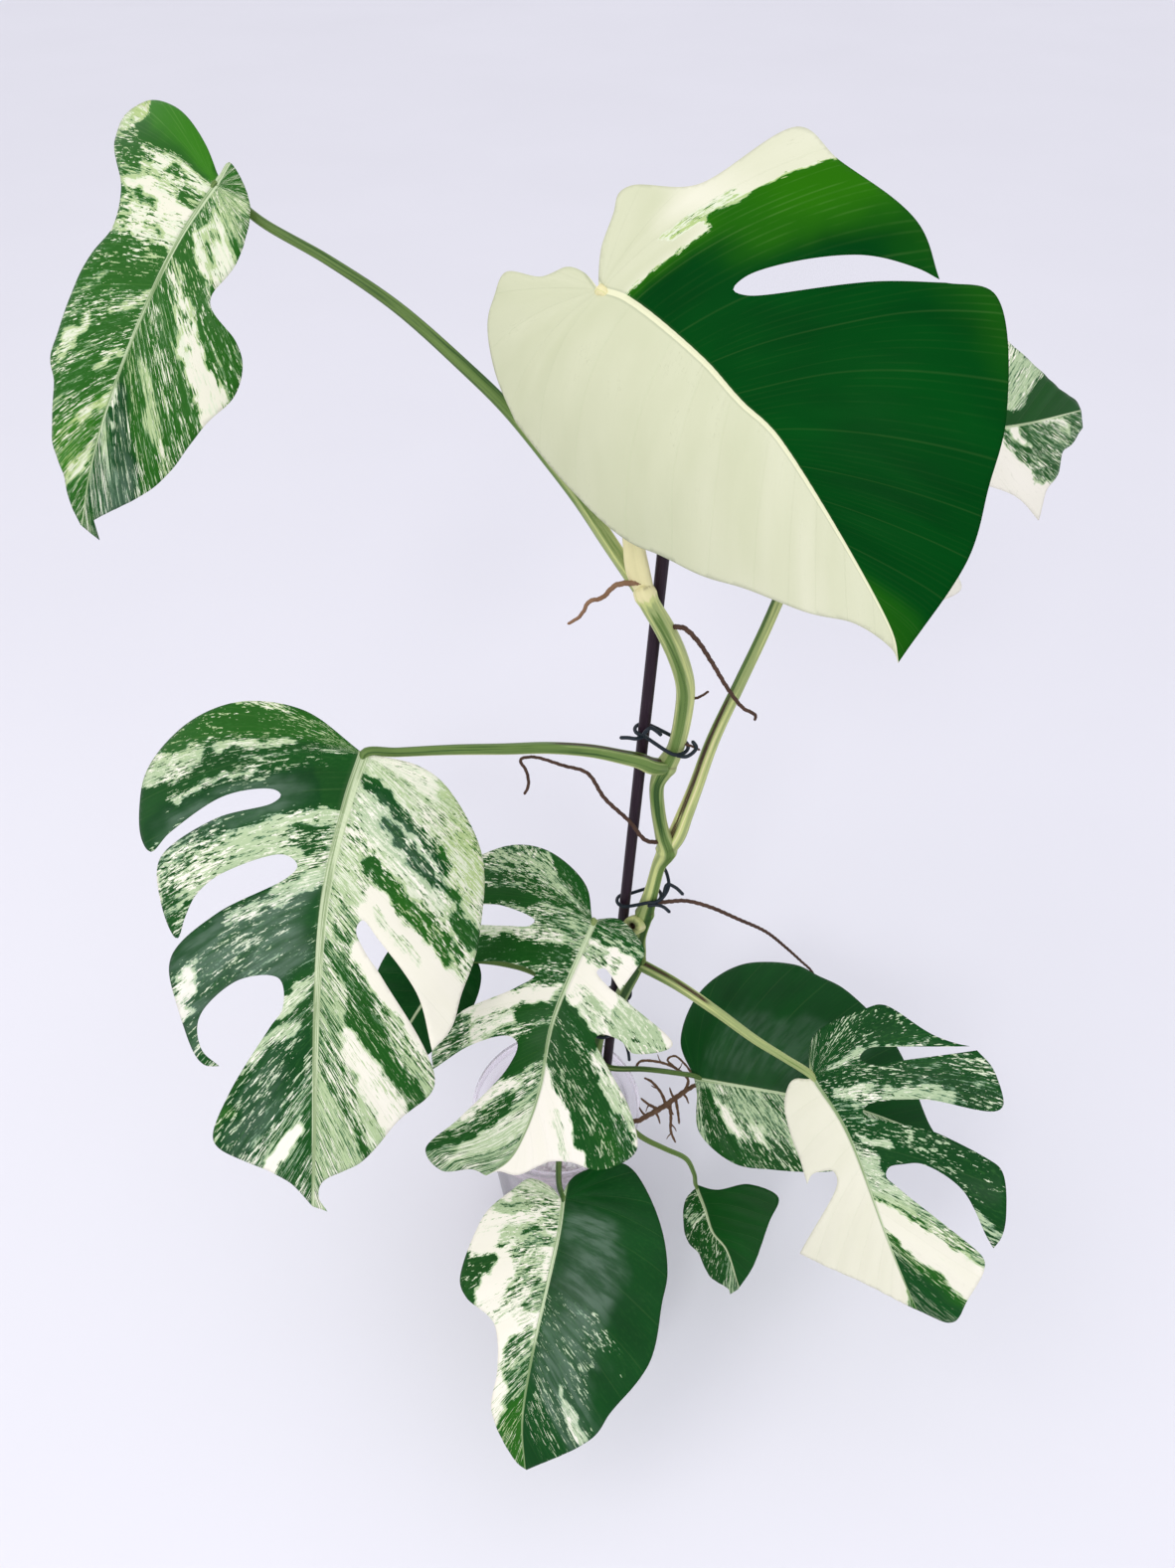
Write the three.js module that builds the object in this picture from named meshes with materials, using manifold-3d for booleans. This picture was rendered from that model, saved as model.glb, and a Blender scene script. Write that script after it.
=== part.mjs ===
// A potted, climbing, variegated monstera: ten leaves on one zigzag stem, tied to a stake in a clear pot.
// Millimetres, +Z up. The origin is the centre of the pot's underside, and -Y faces the viewer.
import * as THREE from "three";
import { mergeVertices } from "three/addons/utils/BufferGeometryUtils.js";
import Module from "manifold-3d";

const wasm = await Module();
wasm.setup();

// Pot: a tapered nursery pot with a turned-out lip and a ring of drain holes.
// Places are measured from a spot near the stem's foot, and the whole is moved at the end.
const POT_CENTRE = [-20, 10];
const POT_HEIGHT = 160;
const POT_LIP_RADIUS = 70;
const POT_LIP_DROP = 11;
const POT_TOP_RADIUS = 61;
const POT_BASE_RADIUS = 50;
const POT_WALL = 1.2;
const POT_FLOOR = 2;
const POT_SIDES = 48;
const DRAIN_COUNT = 8;
const DRAIN_RADIUS = 4.5;
const DRAIN_RING = 34;

// Substrate: it fills the pot to this height, with lumps of this height on top.
const SOIL_TOP = 134;
const SOIL_LUMP = 2.6;
const SOIL_RINGS = 9;
const SOIL_SIDES = 30;

// Stake: a straight round rod.
const STAKE_FOOT = [13, 24, 12];
const STAKE_TOP = [57, 85, 740];
const STAKE_RADIUS = 4;
const STAKE_SIDES = 16;

// Leaf blades.
const BLADE_THICKNESS = 0.9;
const RIB_DEPTH = 1.5;
const RIB_HALF_WIDTH = 3.5;
const RIB_STEP = 15;
const RIB_START = 5;
const RIB_CLEARANCE = 2.5;
const OUTLINE_TOLERANCE = 0.7;
const LONGEST_EDGE = 14;
const INNER_SPACING = 20;
const MARGIN_CLEARANCE = 6.5;
const RUFFLE_LENGTH = 62;
const SIDE_REACH = 100;

// Gap kept between pieces that touch.
const GAP = 0.3;

// Each leaf: the base is where its stalk joins, the tip is the end of the midrib, facing is its upper side.
// In the blade's own plane, y runs from base to tip and x to the right, seen from above with the tip up.
// arch lifts the middle of the midrib, and ruffle is the height of the margin's waves.
// drop is how far the blade falls at SIDE_REACH from the midrib, on its +x and on its -x side.
// An outline point with a third number is a sharp corner, and the stretches between corners are smooth.
const LEAVES = [
  {
    name: "1",
    base: [-196, 160, 828],
    tip: [-294, 88, 662],
    facing: [-0.13, -0.88, 0.46],
    arch: 14,
    ruffle: 3,
    drop: [50, 34],
    rib: [[0, 0], [4, 33], [5, 98], [4, 165], [0, 206]],
    outline: [
      [1, -5, 1], [16, -16], [42, -25], [70, -20], [80, -8], [74, 5], [50, 26], [44, 45], [49, 65],
      [51, 125], [42, 138], [32, 170], [19, 184], [11, 197], [1, 207, 1], [-12, 210, 1], [-6, 200, 1],
      [-33, 163], [-48, 114], [-54, 94], [-52, 76], [-45, 67], [-25, 55], [-28, 29], [-21, 0], [0, -14],
    ],
  },
  {
    name: "2",
    base: [13, 55, 811],
    tip: [151, -89, 693],
    facing: [-0.4, -0.78, 0.48],
    arch: 14,
    ruffle: 0.8,
    drop: [46, 20],
    rib: [[0, 0], [-7, 13], [-18, 64], [-20, 93], [-23, 117], [-7, 219], [0, 232]],
    outline: [
      [1, -2, 1], [2, -14], [7, -24], [21, -33], [38, -56], [51, -54], [64, -49], [81, -23], [87, 38],
      [76, 92], [64, 113], [50, 138], [36, 157], [17, 188], [3, 206], [-2, 226], [0, 232, 1], [-53, 214],
      [-78, 195], [-102, 175], [-129, 130], [-117, 113, 1], [-97, 93], [-51, 57], [-48, 50], [-57, 50],
      [-98, 78], [-112, 99], [-116, 110, 1], [-124, 83], [-116, 34], [-112, 7], [-64, -4], [-40, -30],
      [-33, -32], [-26, -26], [-12, -17],
    ],
  },
  {
    name: "3",
    base: [148, 113, 704],
    tip: [329, 200, 680],
    facing: [0.43, -0.77, 0.46],
    arch: 10,
    ruffle: 2,
    drop: [25, 25],
    rib: [[0, 0], [5, 128], [0, 202]],
    outline: [
      [2, -2, 1], [-14, -20], [-38, -23], [-62, -6], [-72, 34], [-71, 78], [-62, 112], [-44, 140],
      [-15, 179], [-6, 197], [0, 202, 1], [11, 204, 1], [21, 192], [25, 183], [37, 182], [49, 172],
      [67, 171, 1], [48, 139], [40, 117], [36, 102], [46, 98], [84, 98], [105, 112], [110, 84], [100, 50],
      [84, 10], [60, -18], [30, -26], [8, -12],
    ],
  },
  {
    name: "4",
    base: [-131, 11, 547],
    tip: [-160, -183, 354],
    facing: [0.19, -0.71, 0.68],
    arch: 22,
    ruffle: 2.4,
    drop: [38, 34],
    rib: [[0, 0], [6, 29], [13, 93], [0, 275]],
    outline: [
      [1, -1, 1], [40, -24], [83, -25], [116, -6], [135, 29], [130, 64], [121, 73], [111, 60], [80, 34],
      [51, 27], [46, 30], [50, 35], [83, 48], [112, 72], [115, 83], [107, 110], [95, 126], [94, 109],
      [89, 95], [76, 81], [42, 65], [34, 67], [31, 71], [36, 78], [75, 104], [99, 133], [94, 158],
      [78, 189], [71, 194], [63, 193, 1], [74, 186], [79, 173], [76, 161], [56, 140], [34, 137],
      [30, 154], [36, 166], [55, 207], [63, 238], [59, 244], [28, 254], [14, 261], [0, 275, 1],
      [-9, 278, 1], [-3, 269], [-4, 259], [-26, 245], [-45, 220], [-65, 198], [-26, 133], [-14, 118],
      [-7, 105], [-10, 99], [-20, 109], [-48, 142], [-61, 176, 1], [-72, 163], [-76, 142], [-84, 107],
      [-80, 54], [-53, 14], [-34, 3],
    ],
  },
  {
    name: "5",
    base: [11, 24, 374],
    tip: [-66, -107, 252],
    facing: [-0.09, -0.65, 0.75],
    arch: 16,
    ruffle: 2,
    drop: [30, 40],
    rib: [[0, 0], [-2, 76], [-12, 121], [-14, 154], [-11, 177], [0, 195]],
    outline: [
      [2, -1, 1], [17, -22], [53, -34], [83, -27], [110, -1], [117, 17], [113, 31], [103, 35], [81, 21],
      [67, 16], [40, 16], [42, 21], [58, 28], [90, 42], [100, 52], [103, 64], [92, 70], [46, 51],
      [23, 50], [32, 64], [64, 99], [68, 116], [72, 132], [66, 144, 1], [46, 115], [23, 97], [15, 99],
      [15, 118], [34, 167], [48, 199], [32, 207], [10, 195], [0, 195, 1], [-7, 188], [-20, 185],
      [-38, 166], [-51, 161], [-73, 159], [-91, 138], [-78, 114], [-47, 87], [-34, 75], [-36, 70],
      [-51, 69], [-62, 74], [-86, 59], [-41, 41, 1], [-29, 38], [-16, 31], [-20, 27], [-37, 37, 1],
      [-42, 6], [-38, 1], [-16, -9],
    ],
  },
  {
    name: "6",
    base: [166, -61, 305],
    tip: [230, -188, 220],
    facing: [-0.56, -0.63, 0.53],
    arch: 10,
    ruffle: 1.6,
    drop: [20, 22],
    rib: [[0, 0], [-11, 43], [0, 167]],
    outline: [
      [3, 0, 1], [17, -3], [30, 11], [36, 66, 1], [29, 61], [18, 61], [11, 63], [11, 70], [71, 112, 1],
      [30, 138], [0, 166], [-18, 180], [-36, 168], [-56, 152], [-59, 144], [-29, 84], [-25, 76],
      [-30, 71], [-40, 72], [-52, 76], [-68, 100], [-68, 141, 1], [-76, 136], [-86, 123], [-95, 97],
      [-90, 86], [-69, 60], [-27, 33], [-32, 29], [-69, 38], [-109, 61], [-114, 59], [-116, 37],
      [-111, 22, 1], [-64, 10], [-47, 7], [-38, -1], [-45, -5], [-63, 0], [-108, 18, 1], [-101, 13],
      [-90, 3], [-64, -28], [-51, -30], [-14, -28], [-5, -20],
    ],
  },
  {
    name: "7",
    base: [95, 0, 209],
    tip: [277, -54, 210],
    facing: [-0.16, -0.52, 0.84],
    arch: 12,
    ruffle: 1.2,
    drop: [20, 30],
    rib: [[0, 0], [-5, 73], [-7, 123], [0, 189]],
    outline: [
      [-1, -4, 1], [-26, -21], [-69, -15], [-100, 14], [-109, 57], [-104, 76], [-98, 98], [-72, 136],
      [-54, 152], [-9, 180], [1, 190, 1], [24, 154], [44, 112], [53, 71], [56, 41], [39, 9], [10, 1],
    ],
  },
  {
    name: "8",
    base: [-12, -98, 201],
    tip: [-38, -250, 101],
    facing: [-0.13, -0.53, 0.84],
    arch: 12,
    ruffle: 2.4,
    drop: [36, 22],
    rib: [[0, 0], [-1, 23], [6, 150], [0, 184]],
    outline: [
      [2, 0, 1], [9, -6], [28, -10], [40, 0], [59, 22], [69, 68], [61, 79], [37, 91], [29, 119],
      [29, 150], [7, 180], [-1, 184, 1], [-45, 155], [-55, 137], [-78, 101], [-82, 59], [-83, 40],
      [-72, 4], [-48, -27], [-36, -31], [-11, -21], [-3, -14],
    ],
  },
  {
    name: "9",
    base: [94, -54, 138],
    tip: [127, -119, 96],
    facing: [-0.44, -0.63, 0.63],
    arch: 5,
    ruffle: 0.8,
    drop: [20, 12],
    rib: [[0, 0], [-1, 18], [0, 37], [-5, 52], [0, 84]],
    outline: [
      [-2, 0, 1], [-16, 8], [-44, 13], [-62, 30], [-48, 44], [-20, 71], [1, 84, 1], [10, 86, 1], [9, 82],
      [19, 68], [20, 47], [24, 39], [24, 30], [14, 8],
    ],
  },
  {
    name: "10",
    base: [-100, 52, 294],
    tip: [-155, -25, 241],
    facing: [0.11, -0.62, 0.78],
    arch: 6,
    ruffle: 1,
    drop: [20, 20],
    rib: [[0, 0], [3, 55], [0, 109]],
    outline: [
      [1, -2, 1], [-10, -12], [-24, -4], [-32, 18], [-30, 44], [-20, 74], [-8, 98], [0, 109, 1], [12, 98],
      [30, 76], [44, 44], [46, 12], [34, -12], [14, -14],
    ],
  },
];

// Stem from the soil up, as [x, y, z, radius]. It is thicker where a leaf grows out.
const STEM = [
  [9, 36, 40, 4.6], [10, 38, 120, 5], [11, 38, 158, 5.4], [12, 38, 184, 6], [16, 36, 219, 5.2],
  [27, 33, 255, 5.4], [37, 36, 285, 5.6], [44, 40, 310, 6.6], [45, 43, 335, 5.6], [49, 48, 356, 6.6],
  [54, 51, 381, 5.2], [58, 54, 402, 5.2], [63, 55, 417, 7.2], [59, 56, 433, 5.4], [55, 58, 456, 5],
  [54, 60, 477, 5.2], [59, 61, 492, 7], [65, 62, 508, 5.8], [69, 66, 534, 6], [69, 66, 557, 6.2],
  [63, 64, 581, 6.4], [53, 61, 606, 6.4], [44, 64, 621, 6.2], [38, 69, 632, 6.6],
];
const NODE_RINGS = [184, 310, 356, 417, 492, 621];
const NODE_RING_HEIGHT = 0.8;

// Leaf stalks, as [x, y, z, radius] from the stem to the blade.
const STALKS = {
  1: [
    [40, 68, 626, 4.8], [19, 86, 651, 5], [3, 98, 671, 4.8], [-15, 111, 690, 4.6], [-41, 125, 717, 4.2],
    [-64, 134, 737, 3.9], [-102, 145, 768, 3.4], [-139, 151, 792, 2.9], [-174, 160, 809, 2.6],
    [-189, 166, 819, 2.5], [-197, 162, 828, 2.4],
  ],
  2: [
    [42, 68, 624, 5.4], [36, 72, 641, 7.2], [33, 76, 658, 6.2], [30, 80, 676, 5], [23, 82, 720, 4],
    [17, 75, 769, 3.3], [14, 62, 799, 2.9], [13, 55, 811, 2.8],
  ],
  3: [
    [60, 54, 412, 5], [69, 58, 427, 6.6], [75, 65, 442, 6], [82, 74, 460, 5.3], [93, 87, 493, 4.7],
    [109, 101, 530, 4.2], [125, 112, 571, 3.9], [140, 123, 617, 3.7], [149, 130, 656, 3.2],
    [151, 126, 686, 2.8], [148, 114, 704, 2.6],
  ],
  4: [
    [61, 61, 492, 5], [49, 53, 500, 6], [42, 53, 504, 5.6], [29, 53, 508, 5], [9, 52, 514, 4.5],
    [-19, 47, 521, 4], [-47, 39, 527, 3.7], [-82, 29, 535, 3.3], [-112, 20, 541, 3], [-131, 12, 547, 2.9],
  ],
  5: [
    [13, 37, 196, 4], [-1, 33, 230, 4], [-6, 34, 275, 3.4], [-1, 31, 329, 2.9], [6, 30, 360, 2.6],
    [11, 25, 374, 2.5],
  ],
  6: [
    [43, 40, 308, 4.8], [73, 20, 307, 4.3], [102, -3, 304, 3.7], [129, -27, 302, 3.2], [149, -43, 302, 2.8],
    [166, -60, 305, 2.6],
  ],
  7: [[12, 37, 181, 3], [24, 28, 183, 2.5], [54, 19, 194, 2.2], [82, 7, 206, 2.1], [93, 2, 210, 2]],
  8: [
    [9, 38, 160, 3.6], [-4, 14, 175, 3.2], [-13, -30, 186, 2.7], [-16, -66, 193, 2.4], [-15, -86, 197, 2.2],
    [-12, -97, 200, 2.2],
  ],
  9: [
    [14, 30, 120, 2.6], [21, 14, 150, 2.4], [31, -6, 168, 2.3], [49, -28, 170, 2.2], [69, -42, 174, 2],
    [84, -50, 174, 2], [91, -55, 160, 1.8], [94, -54, 139, 1.7],
  ],
  10: [
    [13, 38, 208, 3], [-11, 50, 250, 2.8], [-36, 55, 275, 2.5], [-58, 55, 286, 2.3], [-83, 54, 292, 2.1],
    [-100, 53, 293, 2],
  ],
};

// Cut end of an old leaf stalk, hollow at its mouth.
const STUB = [[47, 47, 345, 6], [42, 42, 350, 7.4], [39, 37, 354, 7]];
const STUB_MOUTH = [[42, 42, 350, 2.2], [36, 32, 358, 2.8]];

// Aerial roots, as [x, y, z, radius] from the stem outwards.
const AERIAL_ROOTS = {
  a: [
    [39, 68, 634, 1.8], [23, 62, 636, 1.6], [15, 58, 630, 1.4], [7, 58, 627, 1.3], [4, 56, 622, 1.2],
    [1, 55, 618, 1.1], [-6, 52, 615, 0.9],
  ],
  b: [
    [55, 61, 606, 1.6], [64, 57, 609, 1.6], [73, 55, 601, 1.5], [82, 50, 589, 1.4], [93, 43, 573, 1.3],
    [103, 39, 561, 1.2], [111, 38, 556, 1.1], [111, 37, 552, 0.9],
  ],
  c: [[69, 66, 547, 1], [77, 64, 549, 0.9], [84, 62, 556, 0.8]],
  d: [
    [60, 56, 424, 1.5], [47, 48, 434, 1.5], [35, 50, 451, 1.4], [18, 56, 467, 1.4], [6, 62, 485, 1.3],
    [-10, 64, 490, 1.2], [-31, 65, 497, 1.1], [-39, 62, 497, 1.1], [-35, 58, 490, 1.1],
    [-34, 55, 480, 1.1], [-37, 52, 474, 1],
  ],
  e: [[65, 62, 512, 1], [73, 59, 513, 0.9], [81, 56, 511, 0.8]],
  f: [
    [51, 50, 364, 1.6], [67, 55, 361, 1.6], [81, 61, 355, 1.5], [99, 63, 346, 1.5], [123, 66, 328, 1.4],
    [147, 74, 304, 1.3], [168, 83, 273, 1.2], [183, 86, 252, 1.1], [196, 88, 233, 1], [204, 84, 212, 0.8],
  ],
};

// The root that comes out of the substrate and branches over the pot's lip.
const ROOT_MAIN = [
  [22, 2, 122, 1.8], [28, -4, 146, 1.9], [37, -10, 164, 2], [47, -13, 168, 2], [55, -9, 169, 2.1],
  [65, -4, 171, 2.2], [78, 5, 172, 2.2], [88, 13, 172, 2], [100, 21, 171, 1.6],
];
const ROOT_BRANCHES = [
  [
    [87, 12, 172, 1.4], [90, 20, 177, 1.2], [81, 27, 182, 1.1], [66, 32, 185, 1.1], [50, 33, 184, 1.1],
    [46, 28, 180, 0.9],
  ],
  [[81, 27, 182, 1], [73, 33, 187, 0.9], [79, 36, 188, 0.9], [88, 30, 184, 0.9], [94, 24, 178, 0.9]],
  [[71, 0, 171, 1.5], [67, 9, 175, 1.2], [59, 18, 178, 1.1], [53, 20, 180, 0.8]],
  [[74, 2, 171, 1.6], [75, -6, 163, 1.3], [75, -14, 154, 1.1], [79, -20, 146, 0.8]],
  [[79, 6, 172, 1.4], [81, -3, 164, 1.1], [82, -10, 158, 0.8]],
  [[64, -4, 171, 1.5], [56, -1, 174, 1.1], [50, 4, 175, 0.8]],
];

// Twist ties: a wire round stake and stem, and its free ends.
const TIE_RADIUS = 1.3;
const TIE_SLACK = 0.8;
const TIES = {
  1: {
    stem: [65, 62, 509],
    stemRadius: 6.2,
    height: 520,
    tails: [
      [[44, 60, 520], [38, 56, 521], [33, 57, 521], [27, 57, 521]],
      [[46, 59, 519], [43, 54, 527], [47, 55, 531], [51, 57, 527], [55, 58, 522]],
      [[65, 54, 508], [72, 50, 511], [78, 55, 514], [75, 59, 517]],
    ],
  },
  2: {
    stem: [53, 50, 374],
    stemRadius: 5.4,
    height: 364,
    tails: [
      [[54, 43, 372], [61, 46, 375], [66, 54, 379], [65, 63, 383], [62, 71, 384]],
      [[62, 48, 376], [65, 55, 380], [71, 53, 379], [77, 48, 376]],
      [[50, 42, 371], [57, 42, 372], [62, 41, 371], [67, 37, 369]],
    ],
  },
  3: {
    stem: [30, 34, 263],
    stemRadius: 5.6,
    height: 263,
    tails: [
      [[34.3, 38, 263], [34.8, 43, 268], [37, 46, 272], [40, 44, 268], [40, 41, 263], [37, 40, 259]],
    ],
  },
  4: {
    stem: [18, 36, 225],
    stemRadius: 5.6,
    height: 222,
    tails: [
      [[27, 34.6, 223], [30.5, 36.5, 220], [33.5, 38, 214], [37, 37, 207], [40, 32, 199], [41, 28, 192]],
    ],
  },
};

const COLOURS = {
  pot: [0xe6e2ee, 0.2],
  substrate: [0xd9d5cc, 0.95],
  stake: [0x2c2128, 0.5],
  stem: [0xb9c07a, 0.45],
  stalk: [0x7d9a52, 0.4],
  creamStalk: [0xe3dfae, 0.4],
  mottledBlade: [0x5f8a5a, 0.35],
  creamBlade: [0xe6e8cf, 0.35],
  darkBlade: [0x14501f, 0.3],
  root: [0x5a3d33, 0.8],
  tie: [0x232b30, 0.5],
};
const BLADE_COLOURS = { 2: "creamBlade", 6: "mottledBlade", 7: "darkBlade", 9: "darkBlade" };

// Turns a closed geometry into a solid for joining and cutting.
function solidOf(geometry) {
  const bare = geometry.clone();
  bare.deleteAttribute("normal");
  bare.deleteAttribute("uv");
  const merged = mergeVertices(bare, 1e-4);
  return new wasm.Manifold(
    new wasm.Mesh({
      numProp: 3,
      vertProperties: merged.attributes.position.array,
      triVerts: new Uint32Array(merged.index.array),
    }),
  );
}

// Turns a solid back into a geometry for a mesh.
function geometryOf(solid) {
  const mesh = solid.getMesh();
  const positions = new Float32Array(mesh.numVert * 3);
  for (let i = 0; i < mesh.numVert; i += 1) {
    positions.set(mesh.vertProperties.subarray(i * mesh.numProp, i * mesh.numProp + 3), i * 3);
  }
  const geometry = new THREE.BufferGeometry();
  geometry.setAttribute("position", new THREE.BufferAttribute(positions, 3));
  geometry.setIndex(new THREE.BufferAttribute(new Uint32Array(mesh.triVerts), 1));
  geometry.computeVertexNormals();
  return geometry;
}

// The largest body of a solid, which drops the slivers that a cut leaves.
function largest(solid) {
  return solid.decompose().sort((a, b) => b.volume() - a.volume())[0];
}

// A closed tube along [x, y, z, radius] points. extra widens it, for the clearance round it.
function tube(points, { sides = 8, step = 11, extra = 0, ridges = [] } = {}) {
  const marks = points.map(([x, y, z]) => new THREE.Vector3(x, y, z));
  const path = new THREE.CatmullRomCurve3(marks, false, "centripetal");
  const rings = Math.max(2, Math.round(path.getLength() / step));
  const frames = path.computeFrenetFrames(rings, false);
  const positions = [];
  const index = [];
  for (let i = 0; i <= rings; i += 1) {
    const centre = path.getPointAt(i / rings);
    const place = path.getUtoTmapping(i / rings) * (points.length - 1);
    const from = Math.min(Math.floor(place), points.length - 2);
    const ridge = ridges.some((z) => Math.abs(centre.z - z) < step / 2) ? NODE_RING_HEIGHT : 0;
    const radius = THREE.MathUtils.lerp(points[from][3], points[from + 1][3], place - from) + ridge + extra;
    for (let k = 0; k < sides; k += 1) {
      const angle = (2 * Math.PI * k) / sides;
      const out = frames.normals[i].clone().multiplyScalar(Math.cos(angle));
      out.addScaledVector(frames.binormals[i], Math.sin(angle));
      positions.push(...centre.clone().addScaledVector(out, radius));
    }
  }
  for (let i = 0; i < rings; i += 1) {
    for (let k = 0; k < sides; k += 1) {
      const a = i * sides + k;
      const b = i * sides + ((k + 1) % sides);
      index.push(a, b, b + sides, a, b + sides, a + sides);
    }
  }
  const last = rings * sides;
  for (let k = 1; k < sides - 1; k += 1) {
    index.push(0, k + 1, k, last, last + k, last + k + 1);
  }
  const geometry = new THREE.BufferGeometry();
  geometry.setAttribute("position", new THREE.Float32BufferAttribute(positions, 3));
  geometry.setIndex(index);
  return solidOf(geometry);
}

// Joins tubes that run into each other.
function joined(solids) {
  return solids.reduce((all, next) => all.add(next));
}

// The outline's smooth stretches as close points, then as few of them as its shape needs.
function outlinePoints(outline) {
  const corners = outline.map((p, i) => (p[2] ? i : -1)).filter((i) => i >= 0);
  const kept = [];
  corners.forEach((start, c) => {
    const stop = c + 1 < corners.length ? corners[c + 1] : corners[0] + outline.length;
    const run = [];
    for (let i = start; i <= stop; i += 1) {
      const [x, y] = outline[i % outline.length];
      run.push(new THREE.Vector3(x, y, 0));
    }
    const curve = new THREE.CatmullRomCurve3(run, false, "centripetal");
    const close = curve.getSpacedPoints(Math.max(2, Math.round(curve.getLength())));
    kept.push(...thinned(close).slice(0, -1));
  });
  const points = kept.map((p) => new THREE.Vector2(p.x, p.y));
  return THREE.ShapeUtils.isClockWise(points) ? points.reverse() : points;
}

// Leaves out points that lie near the line through their neighbours.
function thinned(points) {
  const last = points.length - 1;
  const chord = new THREE.Line3(points[0], points[last]);
  let worst = -1;
  let far = OUTLINE_TOLERANCE;
  for (let i = 1; i < last; i += 1) {
    const foot = chord.closestPointToPoint(points[i], true, new THREE.Vector3());
    const gap = foot.distanceTo(points[i]);
    if (gap > far) {
      far = gap;
      worst = i;
    }
  }
  if (worst < 0 && chord.distance() > LONGEST_EDGE && last > 1) worst = Math.round(last / 2);
  if (worst < 0) return [points[0], points[last]];
  return [...thinned(points.slice(0, worst + 1)).slice(0, -1), ...thinned(points.slice(worst))];
}

function distanceToOutline(point, outline) {
  const foot = new THREE.Vector3();
  const flat = new THREE.Vector3(point.x, point.y, 0);
  let nearest = Infinity;
  outline.forEach((a, i) => {
    const b = outline[(i + 1) % outline.length];
    const edge = new THREE.Line3(new THREE.Vector3(a.x, a.y, 0), new THREE.Vector3(b.x, b.y, 0));
    nearest = Math.min(nearest, edge.closestPointToPoint(flat, true, foot).distanceTo(flat));
  });
  return nearest;
}

function isInside(point, outline) {
  let inside = false;
  outline.forEach((a, i) => {
    const b = outline[(i + 1) % outline.length];
    const crosses = a.y > point.y !== b.y > point.y;
    if (crosses && point.x < ((b.x - a.x) * (point.y - a.y)) / (b.y - a.y) + a.x) inside = !inside;
  });
  return inside;
}

// The midrib's sideways place at a given y.
function ribAt(leaf, y) {
  const line = leaf.ribLine;
  if (y <= line[0].y) return line[0].x;
  const next = line.findIndex((p) => p.y >= y);
  if (next < 0) return line[line.length - 1].x;
  const a = line[next - 1];
  const b = line[next];
  return a.x + ((b.x - a.x) * (y - a.y)) / (b.y - a.y);
}

// Height of the blade's middle surface over its own plane.
function bladeHeight(leaf, x, y) {
  const t = y / leaf.length;
  const aside = x - ribAt(leaf, y);
  const reach = aside / SIDE_REACH;
  const fall = leaf.drop[aside > 0 ? 0 : 1] * reach * reach;
  const phase = aside > 0 ? 0 : Math.PI / 2;
  const swing = Math.sin((2 * Math.PI * y) / RUFFLE_LENGTH + phase);
  const ruffle = leaf.ruffle * Math.min(1, 2 * reach * reach) * swing;
  return 4 * leaf.arch * t * (1 - t) - fall + ruffle;
}

// Points of the blade's flat plan: its outline, three rows along the midrib and an even filling.
function bladePlan(leaf) {
  const outline = outlinePoints(leaf.outline);
  const inner = [];
  const midrib = new Set();
  const addPoint = (x, y, clearance) => {
    const point = new THREE.Vector2(x, y);
    if (!isInside(point, outline) || distanceToOutline(point, outline) < clearance) return false;
    const apart = Math.min(clearance, RIB_HALF_WIDTH) * 0.9;
    if (inner.some((p) => p.distanceTo(point) < apart)) return false;
    inner.push(point);
    return true;
  };
  for (let y = RIB_START; y < leaf.length - RIB_START; y += RIB_STEP) {
    const x = ribAt(leaf, y);
    if (addPoint(x, y, RIB_CLEARANCE)) midrib.add(outline.length + inner.length - 1);
    addPoint(x - RIB_HALF_WIDTH, y, RIB_CLEARANCE);
    addPoint(x + RIB_HALF_WIDTH, y, RIB_CLEARANCE);
  }
  const rowStep = INNER_SPACING * Math.sqrt(0.75);
  for (let row = -6; row * rowStep < leaf.length + 20; row += 1) {
    for (let column = -9; column <= 9; column += 1) {
      const x = (column + (row % 2 ? 0.5 : 0)) * INNER_SPACING;
      const y = row * rowStep;
      const nearRib = Math.abs(x - ribAt(leaf, y)) < RIB_HALF_WIDTH + MARGIN_CLEARANCE && y > 0;
      if (!nearRib) addPoint(x, y, MARGIN_CLEARANCE);
    }
  }
  return { points: [...outline, ...inner], rim: outline.length, midrib };
}

function turn(a, b, c) {
  return (b.x - a.x) * (c.y - a.y) - (b.y - a.y) * (c.x - a.x);
}

// True if d lies inside the circle through a, b and c.
function inCircle(a, b, c, d) {
  const rows = [a, b, c].map((p) => [p.x - d.x, p.y - d.y, (p.x - d.x) ** 2 + (p.y - d.y) ** 2]);
  return new THREE.Matrix3().set(...rows[0], ...rows[1], ...rows[2]).determinant() > 1e-6;
}

// Triangles over the plan: ear clipping for the outline, then each inner point put in, then edges flipped.
function planFaces({ points, rim }) {
  const faces = THREE.ShapeUtils.triangulateShape(points.slice(0, rim), []);
  for (let i = rim; i < points.length; i += 1) {
    const home = faces.findIndex((f) => {
      const [a, b, c] = f.map((k) => points[k]);
      return Math.min(turn(a, b, points[i]), turn(b, c, points[i]), turn(c, a, points[i])) > -1e-9;
    });
    const [a, b, c] = faces[home];
    faces.splice(home, 1, [a, b, i], [b, c, i], [c, a, i]);
    flipEdges(points, faces);
  }
  return faces;
}

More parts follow.
